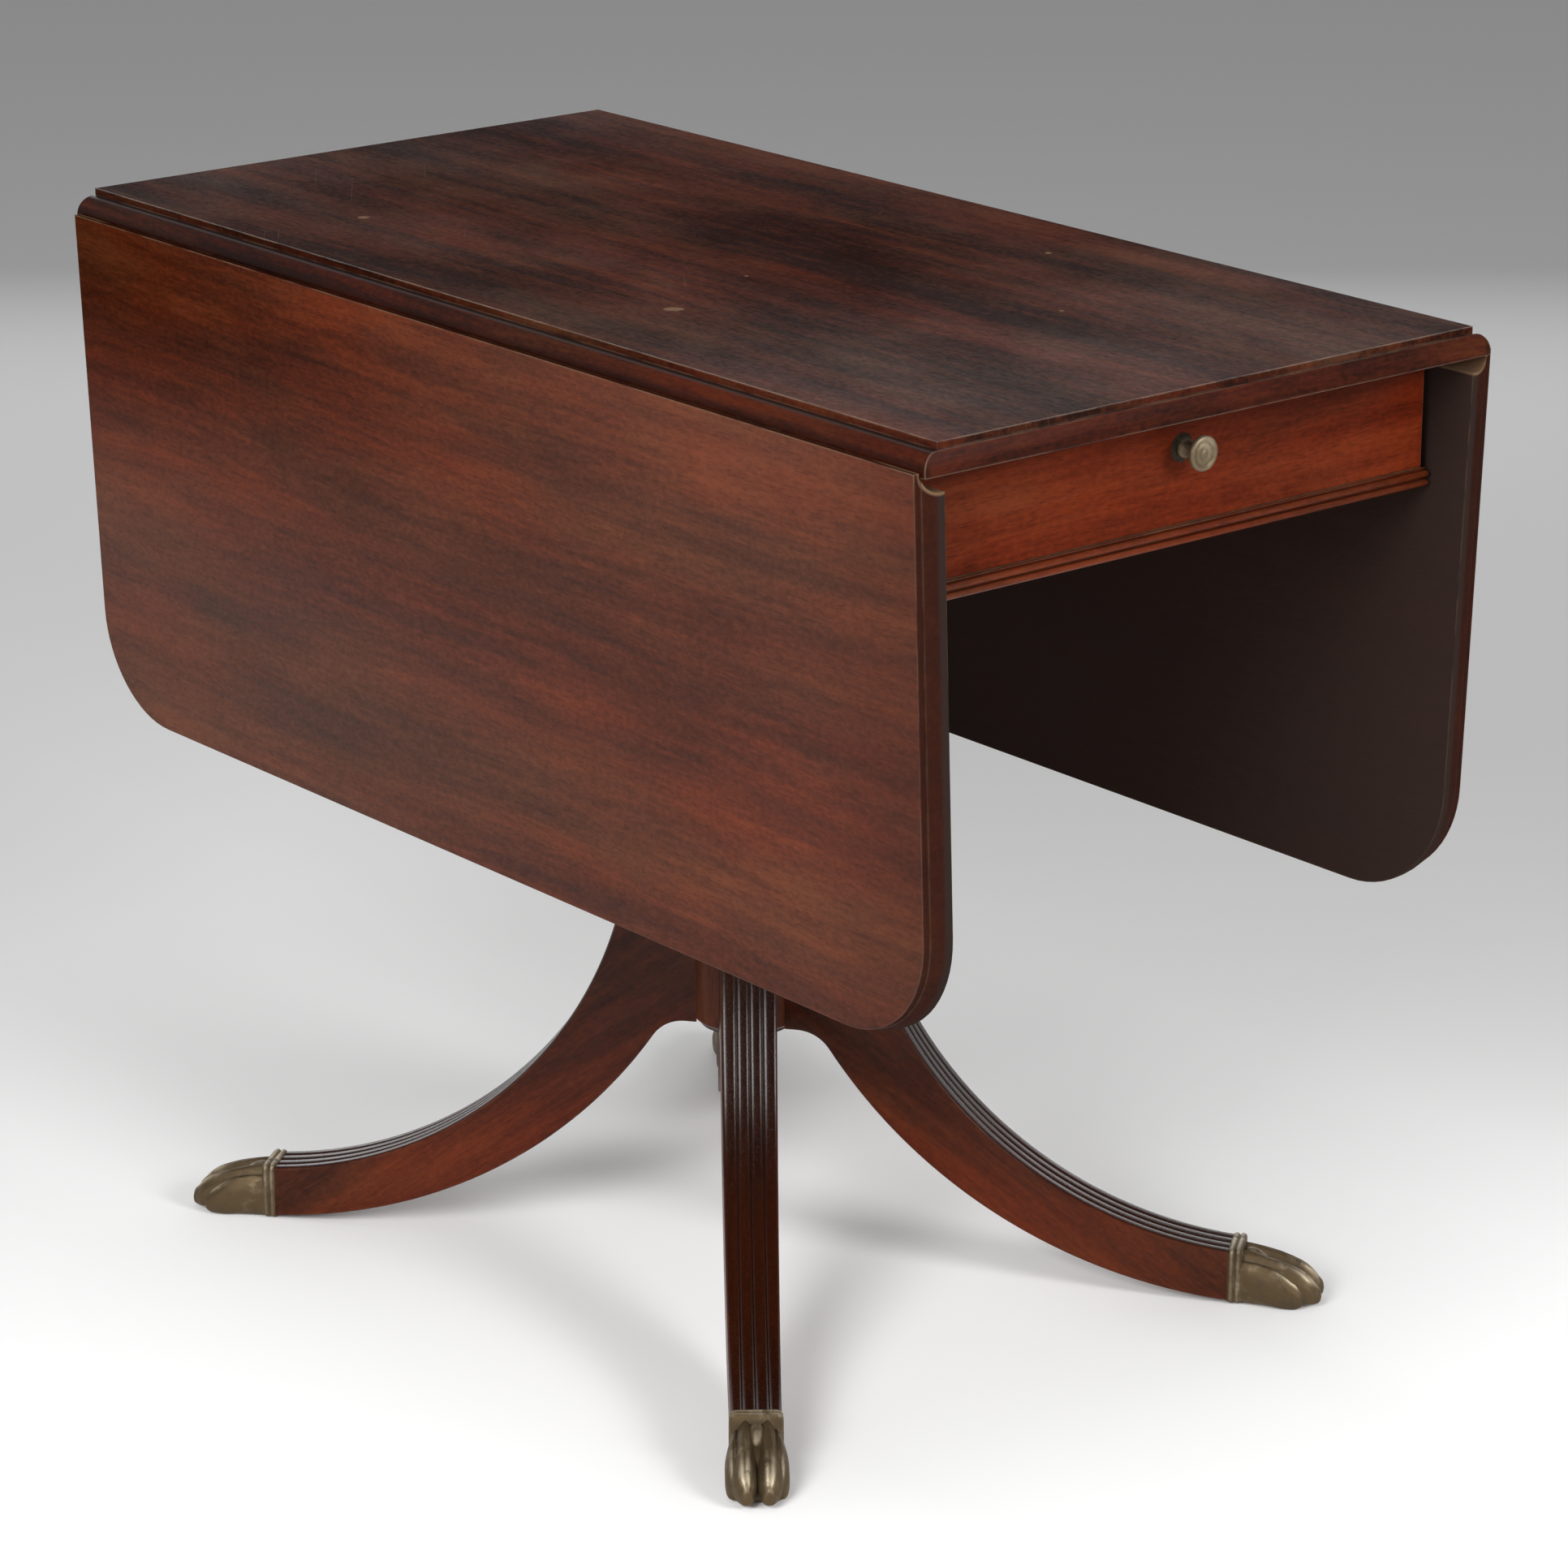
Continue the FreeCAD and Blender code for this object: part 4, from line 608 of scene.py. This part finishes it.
def old_brass(name, crest=None, shine=0.0, shade=1.0, turns=()):
    """Old brass: tarnish in the hollows, pale metal on raised carving, arrises and cloudy patches.

    crest names the mesh attribute that says how pale carved work is painted: partly rubbed brass and
    partly a painted highlight on its upper faces. Such work also has fine chased lines along x after
    the turns, and smudges. shine makes it paler and shade darker.
    """
    look = looks()
    tarnish, pale = scaled(look.tarnish, shade), scaled(look.brass, shade)
    material, shader, start = new_finish(name)
    place = grain_place(start, turns)
    cloud = place.noise((55.0, 55.0, 55.0), 4.0, 0.6)
    grit = place.noise((700.0, 700.0, 700.0), 2.0, 0.6)
    rounded = rounded_arrises(start, 0.0009)
    rub = worn_edges(rounded) * 0.55 + cloud.step(0.40, 0.75) * 0.30 + shine
    relief = cloud * 0.6 + grit * 0.25
    deep = hollows(start, 0.012 if crest else 0.006)
    if crest:
        smudge = place.noise((120.0, 120.0, 60.0), 4.0, 0.65)
        deep = deep.maths("MAXIMUM", deep, smudge.step(0.48, 0.72) * 0.75)
        chased = place.noise((45.0, 420.0, 160.0), 3.0, 0.6)
        # Partly rubbed brass, partly a painted highlight: the carving's upper faces and knuckles are
        # made pale.
        rub = rub + start.node("ShaderNodeAttribute", {"attribute_name": crest}, output="Fac") * 0.9
        rub = rub + (chased - 0.5) * 0.4
        relief = relief + chased * 1.6
    metal = (rub * (1.0 - deep * 0.9)).step(0.0, 1.0).mix(tarnish, pale)
    metal = (deep * 0.8).mix(metal, scaled(tarnish, 0.35))
    plug(shader, {
        "Base Color": metal, "Metallic": 0.70 - deep * 0.35,
        "Roughness": 0.50 - rub * 0.16 + grit * 0.10, "Normal": relief.bump(0.00025, rounded),
    })
    return material


def old_iron(name):
    """Dark wrought iron: oily grey with rusty spots and a hammered skin."""
    look = looks()
    material, shader, start = new_finish(name)
    place = object_place(start)
    hammered = place.noise((160.0, 160.0, 160.0), 4.0, 0.6)
    rust = place.noise((420.0, 420.0, 420.0), 4.0, 0.65).step(0.52, 0.70)
    rounded = rounded_arrises(start, 0.0005)
    plug(shader, {
        "Base Color": (rust * 0.8).mix(look.iron_dark, look.iron_rust), "Metallic": 0.9 - rust * 0.6,
        "Roughness": 0.42 + rust * 0.35 + (hammered - 0.5) * 0.2,
        "Normal": (hammered * 0.7 + rust * 0.3).bump(0.00020, rounded),
    })
    return material


def dress(nodes, material):
    """Give CAD nodes a finish; their shapes stay as they are."""
    for name in nodes:
        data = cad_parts[name].data
        data.materials.clear()
        data.materials.append(material)


# Surfaces

def ramp(value, start, run):
    """0 before start, 1 past start plus run, even between them; run may be negative."""
    return np.clip((value - start) / run, 0, 1)


def flow(rows, count):
    """Smooth curve through the rows of a table: each stretch is the cubic with the rows' own slopes."""
    rows = np.asarray(rows, float)
    place = np.linspace(0, len(rows) - 1, count)
    low = np.clip(place.astype(int), 0, len(rows) - 2)
    t = (place - low)[:, None]
    before, after = rows[np.maximum(low - 1, 0)], rows[np.minimum(low + 2, len(rows) - 1)]
    start, end = rows[low], rows[low + 1]
    slope_in, slope_out = (end - before) / 2, (after - start) / 2
    return (
        (2 * t**3 - 3 * t**2 + 1) * start + (t**3 - 2 * t**2 + t) * slope_in
        + (3 * t**2 - 2 * t**3) * end + (t**3 - t**2) * slope_out
    )


def arc(start, end, radius, bend, count=14):
    """Points of the circle of that radius from start to end, bulging to the left for bend -1."""
    start, end = np.asarray(start, float), np.asarray(end, float)
    middle, run = (start + end) / 2, end - start
    half = np.hypot(*run) / 2
    out = np.array([-run[1], run[0]]) / (2 * half)
    centre = middle + bend * out * math.sqrt(max(radius**2 - half**2, 0.0))
    first, last = (math.atan2(*(p - centre)[::-1]) for p in (start, end))
    turn = (last - first + math.pi) % (2 * math.pi) - math.pi
    angles = first + np.linspace(0, 1, count) * turn
    return centre + radius * np.stack([np.cos(angles), np.sin(angles)], axis=1)


def evenly(points, count):
    """So many points at equal steps along a line of points."""
    walk = np.concatenate([[0], np.cumsum(np.hypot(*np.diff(points, axis=0).T))])
    steps = np.linspace(0, walk[-1], count)
    return np.stack([np.interp(steps, walk, points[:, i]) for i in range(2)], axis=1)


def rounded_section(count, over, under):
    """Unit section, |y| to the power plus |z| to the power is 1, with one power over and one under.

    2 is a circle, more is squarer, and less comes to a ridge.
    """
    angles = np.linspace(0, 2 * np.pi, count, endpoint=False)
    cosine, sine = np.cos(angles), np.sin(angles)
    root = 2 / np.where(sine > 0, over, under)
    return np.stack([
        np.sign(cosine) * np.abs(cosine) ** root, np.sign(sine) * np.abs(sine) ** root
    ], axis=1)


def loft(rows, count, around, over, under):
    """A section carried along x: rows are x, middle y, middle z, half width and half height."""
    table = flow(rows, count)
    section = rounded_section(around, over, under)
    x = np.repeat(table[:, :1], around, axis=1)
    y = table[:, 1:2] + table[:, 3:4] * section[None, :, 0]
    z = table[:, 2:3] + table[:, 4:5] * section[None, :, 1]
    return np.stack([x, y, z], axis=2)


def turning(profile, steps):
    """A profile of radius and height carried round the z axis."""
    angles = np.linspace(0, 2 * np.pi, steps, endpoint=False)
    radius, height = np.asarray(profile, float).T
    return np.stack([
        radius[:, None] * np.cos(angles), radius[:, None] * np.sin(angles),
        np.repeat(height[:, None], steps, axis=1),
    ], axis=2)


def turned_about_z(points, degrees):
    """Points turned about the z axis."""
    angle = math.radians(degrees)
    x, y, z = np.moveaxis(points, -1, 0)
    return np.stack([
        x * math.cos(angle) - y * math.sin(angle), x * math.sin(angle) + y * math.cos(angle), z
    ], axis=-1)


def skin(name, grids, material, sharp=38.0, values=None):
    """One mesh from closed tubes of points, rows along and columns round, with their ends filled.

    Columns wrap round. The two end rows become one face each. values are numbers kept for each
    point, by the attribute's name.
    """
    corners, loops, counts, first = [], [], [], 0
    for grid in grids:
        rows, columns = grid.shape[:2]
        index = first + np.arange(rows * columns).reshape(rows, columns)
        after = np.roll(index, -1, axis=1)
        quads = np.stack([index[:-1], after[:-1], after[1:], index[1:]], axis=2).reshape(-1, 4)
        corners.append(grid.reshape(-1, 3))
        loops += [quads.ravel(), index[0][::-1], index[-1]]
        counts += [np.full(len(quads), 4), [columns], [columns]]
        first += rows * columns
    corners, loops, counts = (np.concatenate(parts) for parts in (corners, loops, counts))
    mesh = bpy.data.meshes.new(name)
    mesh.vertices.add(len(corners))
    mesh.vertices.foreach_set("co", corners.astype(np.float32).ravel())
    mesh.loops.add(len(loops))
    mesh.loops.foreach_set("vertex_index", loops.astype(np.int32))
    mesh.polygons.add(len(counts))
    mesh.polygons.foreach_set("loop_start", (np.cumsum(counts) - counts).astype(np.int32))
    for key, numbers in (values or {}).items():
        kept = mesh.attributes.new(key, "FLOAT", "POINT")
        kept.data.foreach_set("value", np.concatenate([n.ravel() for n in numbers]).astype(np.float32))
    mesh.update(calc_edges=True)
    mesh.validate()
    mesh.polygons.foreach_set("use_smooth", np.ones(len(counts), bool))
    mesh.set_sharp_from_angle(angle=math.radians(sharp))
    mesh.materials.append(material)
    piece = bpy.data.objects.new(name, mesh)
    bpy.context.scene.collection.objects.link(piece)
    return piece


def stands_for(piece, body, slot, *nodes):
    """Put a new piece on a body in the place of CAD nodes."""
    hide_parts(*nodes)
    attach(piece, body)


def leg_sweeps(shape, rows):
    """The upper and lower line of a leg along x, from the hub to the ankle in equal steps.

    The upper one turns over a knee into its sweep and the lower one over a heel.
    """
    reach, hub = shape.leg_reach, shape.hub_radius
    upper, lower = shape.upper_sweep, shape.lower_sweep
    upper_centre, lower_centre = shape.upper_rise + upper, shape.lower_rise + lower
    ankle, knee_fall, knee, heel, hub_low = 0.025, 0.052, 0.040, 0.028, 0.183
    knee_run = math.sqrt(upper**2 - knee_fall**2)
    ratio = 1 + knee / upper
    knee_end = (reach - knee_run, upper_centre - knee_fall)
    head = (reach - knee_run * ratio, upper_centre - knee_fall * ratio + knee)
    upper_end = (reach - ankle, upper_centre - math.sqrt(upper**2 - ankle**2))
    lower_end = (reach - ankle, lower_centre - math.sqrt(lower**2 - ankle**2))
    heel_sum, heel_drop = lower + heel, lower_centre - hub_low + heel
    heel_out = reach - math.sqrt(heel_sum**2 - heel_drop**2)
    part = heel / heel_sum
    heel_end = (heel_out + (reach - heel_out) * part, hub_low - heel + heel_drop * part)
    top = evenly(np.concatenate([
        [(hub, head[1])], arc(head, knee_end, knee, -1), arc(knee_end, upper_end, upper, 1, 90)[1:],
    ]), rows)
    low = evenly(np.concatenate([
        [(hub, hub_low)], arc((heel_out, hub_low), heel_end, heel, -1),
        arc(heel_end, lower_end, lower, 1, 90)[1:],
    ]), rows)
    return top, low


def leg_surface(shape, rows=150):
    """A sabre leg along x: straight sides, and a section between each pair of points of two sweeps.

    Across the top four reeds drop below the sweep by 0.3 mm plus the depth times the fourth power of
    the way from a crest to its groove, and fade out at the knee. With the points comes a 1 for each
    point of the reeds, and less at their outer arrises.
    """
    sink, reed_start, reed_fade, taper_run, tuck = 0.0003, 0.060, 0.045, 0.357, 0.0004
    top, low = leg_sweeps(shape, rows)
    way = np.gradient(top, axis=0)
    way /= np.hypot(*way.T)[:, None]
    down = np.stack([way[:, 1], -way[:, 0]], axis=1)
    cut = ramp(top[:, :1], reed_start, reed_fade)
    depth = shape.reed_depth * cut * cut * (3 - 2 * cut)
    taper = (shape.head_width - shape.ankle_width) / 2 / taper_run
    half = shape.head_width / 2 - taper * top[:, :1]

    share = np.linspace(1, -1, 15)[None, :]
    inner = [0 * half + place * shape.reed_width for place in (1, 0, -1)]
    grooves = np.concatenate([half, *inner, -half], axis=1)
    reeds, drops = [], []
    for i in range(4):
        first, second = grooves[:, i : i + 1], grooves[:, i + 1 : i + 2]
        keep = slice(None) if i == 3 else slice(None, -1)
        reeds.append(((first + second) / 2 + (first - second) / 2 * share)[:, keep])
        drops.append((sink + depth * share**4)[:, keep])
    reeds, drops = np.concatenate(reeds, axis=1), np.concatenate(drops, axis=1)
    over = top[:, None, :] + down[:, None, :] * drops[:, :, None]

    level = np.array([0.985, 0.9, 0.7, 0.5, 0.3, 0.1, 0.012])[None, :, None]
    edge = over[:, :1, :] * level + low[:, None, :] * (1 - level)
    under = np.repeat(low[:, None, :], 9, axis=1)
    side = np.ones((1, level.shape[1]))
    flat = np.linspace(-0.965, 0.965, 9)[None, :]
    across = np.concatenate([reeds, -half * side, half * flat, half * side], axis=1)
    plane = np.concatenate([over, edge, under, edge[:, ::-1]], axis=1)
    points = np.stack([plane[..., 0], across, plane[..., 1]], axis=2)
    points[0, :, 0] = np.sqrt(shape.hub_radius**2 - points[0, :, 1] ** 2) - tuck
    columns = over.shape[1]
    reeded = np.zeros(points.shape[:2])
    reeded[:, :columns] = 1
    reeded[:, [0, 1, columns - 2, columns - 1]] = 0.2
    return points[:, ::-1], reeded[:, ::-1]


def paw_surfaces():
    """A paw along x, in metres: collar beads, instep, boss, two long toes and two set back.

    Each is a rounded section carried along x. The toes are ridged over their middles by 0.75 mm times
    minus the cosine of 8 times the angle from straight up. With the points comes how pale each is
    painted, partly as rubbed brass and partly as a painted highlight on the upper faces: most on the
    toes' knuckles, some on the beads and boss, and below 0 where tarnish stays.
    """
    ring = np.linspace(0, 1, 33)
    swell = 1.5 * np.abs(np.sin(2 * np.pi * ring))
    collar = np.stack([
        351.8 + 9.4 * ring, 0 * ring, 20.8 + swell * 0.45, 16.7 + swell, 20.5 + swell * 0.45,
    ], axis=1)
    mirror = np.array([1, -1, 1, 1, 1])
    forms = [
        ("collar", collar, 33, 64, 9.0, 9.0), ("instep", INSTEP, 40, 64, 4.5, 5.0),
        ("boss", BOSS, 30, 32, 2.0, 2.0), ("toe", LONG_TOE, 72, 48, 1.55, 2.6),
        ("toe", LONG_TOE * mirror, 72, 48, 1.55, 2.6), ("toe", SET_BACK_TOE, 60, 44, 1.6, 3.2),
        ("toe", SET_BACK_TOE * mirror, 60, 44, 1.6, 3.2),
    ]
    grids, rubs_and_highlights = [], []
    for form, rows, count, around, over, under in forms:
        grid = loft(rows, count, around, over, under)
        angle = np.linspace(0, 2 * np.pi, around, endpoint=False)[None, :]
        along = np.linspace(0, 1, count)[:, None]
        lift = np.clip(np.sin(angle), 0, 1)
        if form == "toe":
            fade = ramp(along, 0.10, 0.20) * ramp(along, 0.80, -0.25)
            ridge = -np.cos(8 * (angle - np.pi / 2)) * fade
            grid[..., 2] += 0.75 * lift * ridge
            # Painted highlight and rubbed brass: pale on the toes' upper faces towards the knuckles,
            # less on the lower faces.
            crest = lift**6 * ramp(along, 0.30, 0.32) * ramp(along, 0.90, -0.20)
            crest = crest * (0.85 + 0.6 * ridge) - 0.5 * (1 - lift) * np.clip(along, 0, 0.5)
        elif form == "boss":
            crest = 0.35 * lift + 0 * along
        elif form == "instep":
            crest = -0.6 * lift + 0 * along
        else:
            crest = np.sin(2 * np.pi * along) ** 2 * (0.25 + 0.35 * lift)
        grid[..., 2] = np.maximum(grid[..., 2], 0)
        grids.append(grid * MM)
        rubs_and_highlights.append(crest)
    return grids, rubs_and_highlights


def column_profile(shape):
    """The column's radius and height: hub, ring, cove, urn, neck, collar, cavetto and tenon."""
    hub_low, hub_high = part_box("column")[0].z, 0.33299
    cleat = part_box("column_cleat")[0].z
    axis, chamfer, tenon_radius, tenon_rise = 0.0002, 0.003, 0.022, 0.022
    turned = cleat - hub_high
    points = [(shape.column_radius * r, hub_high + turned * h) for h, r, _, _ in COLUMN_ROWS]
    line = [[
        (axis, hub_low), (shape.hub_radius - chamfer, hub_low), (shape.hub_radius, hub_low + chamfer),
        (shape.hub_radius, hub_high),
    ]]
    for here, after, (_, _, curve, bend) in zip(points, points[1:] + points[-1:], COLUMN_ROWS):
        if curve:
            chord = math.hypot(after[0] - here[0], after[1] - here[1])
            line.append(arc(here, after, curve * chord, bend, 16)[:-1])
        else:
            line.append([here])
    tip = cleat + tenon_rise
    line.append([(tenon_radius, cleat), (tenon_radius, tip), (axis, tip)])
    return np.concatenate(line)


def knob_profile(shape):
    """The knob's radius and reach: stem, cup, rim and a face with a ring and a button."""
    return np.array(KNOB_ROWS) * (shape.knob_radius, shape.knob_reach)


# Pieces

class TABLE_OT_boards(bpy.types.Operator):
    """Polish the top and the two leaves, with the grain along the table"""

    bl_idname = "table.boards"
    bl_label = "Boards"

    def execute(self, context):
        # Painted shade: the top is given a darker polish than the leaves (shade 0.40 against 0.74),
        # though both are the same mahogany.
        dress(("centre_top",), mahogany(
            "top mahogany", shade=0.40, sheen=0.0, mottle=0.6, contrast=1.8, arris=0.002, wear_and_highlight=0.9,
            kind="top",
        ))
        dress(LEAF_BOARDS, mahogany(
            "leaf mahogany", shade=0.74, sheen=0.0, mottle=0.5, contrast=1.15, arris=0.002, wear_and_highlight=0.9,
            kind="leaf",
        ))
        return {"FINISHED"}


class TABLE_OT_apron(bpy.types.Operator):
    """Polish the outside of the apron and leave its inside plain"""

    bl_idname = "table.apron"
    bl_label = "Apron"

    def execute(self, context):
        dress(SIDE_MOULDINGS, mahogany("side moulding mahogany", shade=0.8))
        dress(END_RAILS, mahogany("end rail mahogany", CROSS_GRAIN, lift=0.03, shade=0.8, sheen=0.07))
        dress(("base_moulding_front",), mahogany(
            "front moulding mahogany", CROSS_GRAIN, lift=0.06, shade=0.8, sheen=0.1,
        ))
        dress(PLAIN_LONG, plain_wood("plain wood along"))
        return {"FINISHED"}


class TABLE_OT_drawer(bpy.types.Operator):
    """Polish the drawer's front and leave its box plain"""

    bl_idname = "table.drawer"
    bl_label = "Drawer"

    def execute(self, context):
        dress(("drawer_front",), mahogany(
            "drawer front mahogany", CROSS_GRAIN, lift=0.06, shade=0.84, tint=(1.0, 0.80, 0.88),
            sheen=0.03, kind="drawer",
        ))
        dress(PLAIN_CROSS, plain_wood("plain wood across", CROSS_GRAIN))
        return {"FINISHED"}


class TABLE_OT_knob(bpy.types.Operator):
    """Turn the drawer's brass knob and colour its rosette"""

    bl_idname = "table.knob"
    bl_label = "Knob"

    def execute(self, context):
        shape = context.scene.table_shapes
        low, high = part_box("drawer_knob")
        grid = turning(knob_profile(shape), shape.round_steps)
        middle = (low + high) / 2
        placed = np.stack([
            low.x + grid[..., 2], middle.y + grid[..., 0], middle.z + grid[..., 1],
        ], axis=2)
        piece = skin("turned_knob", [placed], old_brass("knob brass", shine=0.20), 50.0)
        stands_for(piece, "drawer", "brass", "drawer_knob")
        dress(("knob_rosette", "knob_bolt"), old_brass("rosette brass", shade=0.22))
        return {"FINISHED"}


class TABLE_OT_column(bpy.types.Operator):
    """Turn the column"""

    bl_idname = "table.column"
    bl_label = "Column"

    def execute(self, context):
        shape = context.scene.table_shapes
        upright = [(0.0, math.radians(90), 0.0)]
        grid = turning(column_profile(shape), shape.round_steps)
        piece = skin("turned_column", [grid], mahogany("column mahogany", upright, shade=0.5), 32.0)
        stands_for(piece, "frame", "mahogany", "column")
        return {"FINISHED"}


class TABLE_OT_legs(bpy.types.Operator):
    """Sweep the four reeded sabre legs"""

    bl_idname = "table.legs"
    bl_label = "Legs"

    def execute(self, context):
        surface, reeded = leg_surface(context.scene.table_shapes)
        for name, angle in LEG_ANGLES.items():
            turns = [(0.0, 0.0, math.radians(-angle)), (0.0, math.radians(-LEG_FALL), 0.0)]
            finish = mahogany(
                f"leg mahogany {name}", turns, lift=0.02, shade=0.57, sheen=0.14, mottle=0.6, wear_and_highlight=0.8,
                varnish=0.22, kind="leg",
            )
            turned = [turned_about_z(surface, angle)]
            piece = skin(f"sabre_leg_{name}", turned, finish, 34.0, {"reeded": [reeded]})
            stands_for(piece, "frame", "mahogany", f"leg_{name}")
        return {"FINISHED"}


class TABLE_OT_paws(bpy.types.Operator):
    """Carve the four brass paw caps"""

    bl_idname = "table.paws"
    bl_label = "Paw caps"

    def execute(self, context):
        grids, rubs_and_highlights = paw_surfaces()
        for name, angle in LEG_ANGLES.items():
            finish = old_brass(f"paw brass {name}", "crest", turns=[(0.0, 0.0, math.radians(-angle))])
            turned = [turned_about_z(grid, angle) for grid in grids]
            piece = skin(f"carved_paw_{name}", turned, finish, 50.0, {"crest": rubs_and_highlights})
            stands_for(piece, "frame", "brass", f"paw_cap_{name}")
        return {"FINISHED"}


class TABLE_OT_ironwork(bpy.types.Operator):
    """Give the hinges, screws and hub plate their iron"""

    bl_idname = "table.ironwork"
    bl_label = "Ironwork"

    def execute(self, context):
        dress(IRON_NODES, old_iron("old iron"))
        return {"FINISHED"}


def floor_finish(stage):
    """A floor with a painted pool of light: pale near the table and greying past a radius; the pale
    share is e to minus the way past it over fall.
    """
    centre, pool_radius, fall = (0.46, -0.38, 0.0), 0.85, 1.15
    material, shader, start = new_finish("studio floor")
    place = object_place(start)
    away = place.vector("DISTANCE", centre, "Value")
    past = away.maths("MAXIMUM", away - pool_radius, 0.0)
    pale = past.maths("POWER", math.e, past * (-1 / fall))
    plug(shader, {
        "Base Color": pale.mix(stage.floor_far, stage.floor_near), "Specular IOR Level": 0.0,
        "Roughness": 0.85 + (place.noise((9.0, 9.0, 9.0), 3.0) - 0.5) * 0.05,
    })
    return material


def lay_floor(scene, stage):
    """A round floor."""
    ring = np.linspace(0, 2 * np.pi, 96, endpoint=False)
    rim = np.stack([np.cos(ring), np.sin(ring), 0 * ring], axis=1) * stage.floor_radius
    mesh = bpy.data.meshes.new("studio_floor")
    mesh.from_pydata(rim.tolist(), [], [list(range(len(rim)))])
    mesh.materials.append(floor_finish(stage))
    floor = bpy.data.objects.new("studio_floor", mesh)
    scene.collection.objects.link(floor)


def light_world(scene, stage, towards):
    """Light from all round, weak overhead; mirroring surfaces see a pale wall behind the table."""
    world = bpy.data.worlds.new("studio")
    scene.world = world
    world.use_nodes = True
    tree = world.node_tree
    start = Wire(tree)
    back = next(n for n in tree.nodes if n.type == "BACKGROUND")
    straight = start.node("ShaderNodeLightPath", output="Is Camera Ray")
    glossy = Wire(tree, straight.socket.node.outputs["Is Glossy Ray"])
    sky = start.node("ShaderNodeTexCoord", output="Generated")
    front = sky.vector("DOT_PRODUCT", towards, "Value")
    rise = sky.apart()[2]
    behind = front.step(0.25, -0.55) * (1.0 - rise.step(0.25, 0.75) * 0.65)
    shown = behind.mix((0.06, 0.06, 0.06), (0.80, 0.80, 0.80))
    dome = rise.step(0.0, 0.8).mix((stage.ambient,) * 3, (stage.zenith,) * 3)
    lit = glossy.mix(dome, shown)
    plug(back, {"Color": straight.mix(lit, stage.backdrop), "Strength": 1.0})


def lamp(name, place, target, width, height, watts):
    """A soft lamp that faces a point."""
    light = bpy.data.lights.new(name, "AREA")
    light.shape = "RECTANGLE"
    light.size = width
    light.size_y = height
    light.energy = watts
    held = bpy.data.objects.new(name, light)
    held.location = place
    held.rotation_euler = (Vector(target) - Vector(place)).to_track_quat("-Z", "Y").to_euler()
    bpy.context.scene.collection.objects.link(held)


class TABLE_OT_stage(bpy.types.Operator):
    """Lay the floor, hang the lamps and place the camera"""

    bl_idname = "table.stage"
    bl_label = "Stage"

    def execute(self, context):
        scene, stage = context.scene, context.scene.table_stage
        turn = stage.azimuth
        towards = Vector((math.sin(turn), -math.cos(turn), 0))
        right = Vector((math.cos(turn), math.sin(turn), 0))
        up = Vector((0, 0, 1))
        lay_floor(scene, stage)
        light_world(scene, stage, towards)

        middle = up * 0.40
        over = Vector((0.1, -0.1, 0))
        key = middle - right * 1.3 + towards * 2.6 + up * 1.5
        fill = middle + right * 2.1 + towards * 1.7 + up * 1.1
        strip = middle - towards * 3.0 + up * 0.55
        lamp("key", key, middle, 1.4, 1.4, stage.key_power)
        lamp("fill", fill, middle, 0.9, 0.9, stage.fill_power)
        lamp("overhead", over + up * 3.2, over, 1.6, 1.6, stage.top_power)
        lamp("strip", strip, middle, 4.0, 0.7, stage.strip_power)

        level, raised = math.cos(stage.elevation), math.sin(stage.elevation)
        back_way = towards * level + up * raised
        view = bpy.data.cameras.new("photograph")
        view.sensor_width = SENSOR_WIDTH
        view.lens = stage.lens
        view.clip_end = 60.0
        camera = bpy.data.objects.new("photograph", view)
        camera.location = Vector(CAMERA_TARGET) + back_way * stage.distance
        camera.rotation_euler = (-back_way).to_track_quat("-Z", "Y").to_euler()
        scene.collection.objects.link(camera)
        scene.camera = camera
        scene.view_settings.view_transform = "Standard"
        return {"FINISHED"}


OPERATORS = (
    TABLE_OT_boards, TABLE_OT_apron, TABLE_OT_drawer, TABLE_OT_knob, TABLE_OT_column, TABLE_OT_legs,
    TABLE_OT_paws, TABLE_OT_ironwork, TABLE_OT_stage,
)


class TABLE_PT_panel(bpy.types.Panel):
    """The table's settings and the buttons that make its pieces"""

    bl_label = "Drop-leaf table"
    bl_idname = "TABLE_PT_panel"
    bl_space_type = "VIEW_3D"
    bl_region_type = "UI"
    bl_category = "Table"

    def draw(self, context):
        for name in GROUPS:
            group = getattr(context.scene, name)
            box = self.layout.box()
            for key in group.__annotations__:
                box.prop(group, key)
        for operator in OPERATORS:
            self.layout.operator(operator.bl_idname)


GROUPS = {"table_finishes": TableFinishes, "table_shapes": TableShapes, "table_stage": TableStage}


def register():
    """Add the settings, operators and panel."""
    for name, group in GROUPS.items():
        bpy.utils.register_class(group)
        setattr(bpy.types.Scene, name, PointerProperty(type=group))
    for made in (*OPERATORS, TABLE_PT_panel):
        bpy.utils.register_class(made)


def unregister():
    """Take the panel, operators and settings away."""
    for made in (TABLE_PT_panel, *reversed(OPERATORS)):
        bpy.utils.unregister_class(made)
    for name, group in reversed(GROUPS.items()):
        delattr(bpy.types.Scene, name)
        bpy.utils.unregister_class(group)


def main():
    """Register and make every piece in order."""
    register()
    table = bpy.ops.table
    for make in (table.boards, table.apron, table.drawer, table.knob, table.column, table.legs,
                 table.paws, table.ironwork, table.stage):
        make()


if __name__ == "__main__":
    main()
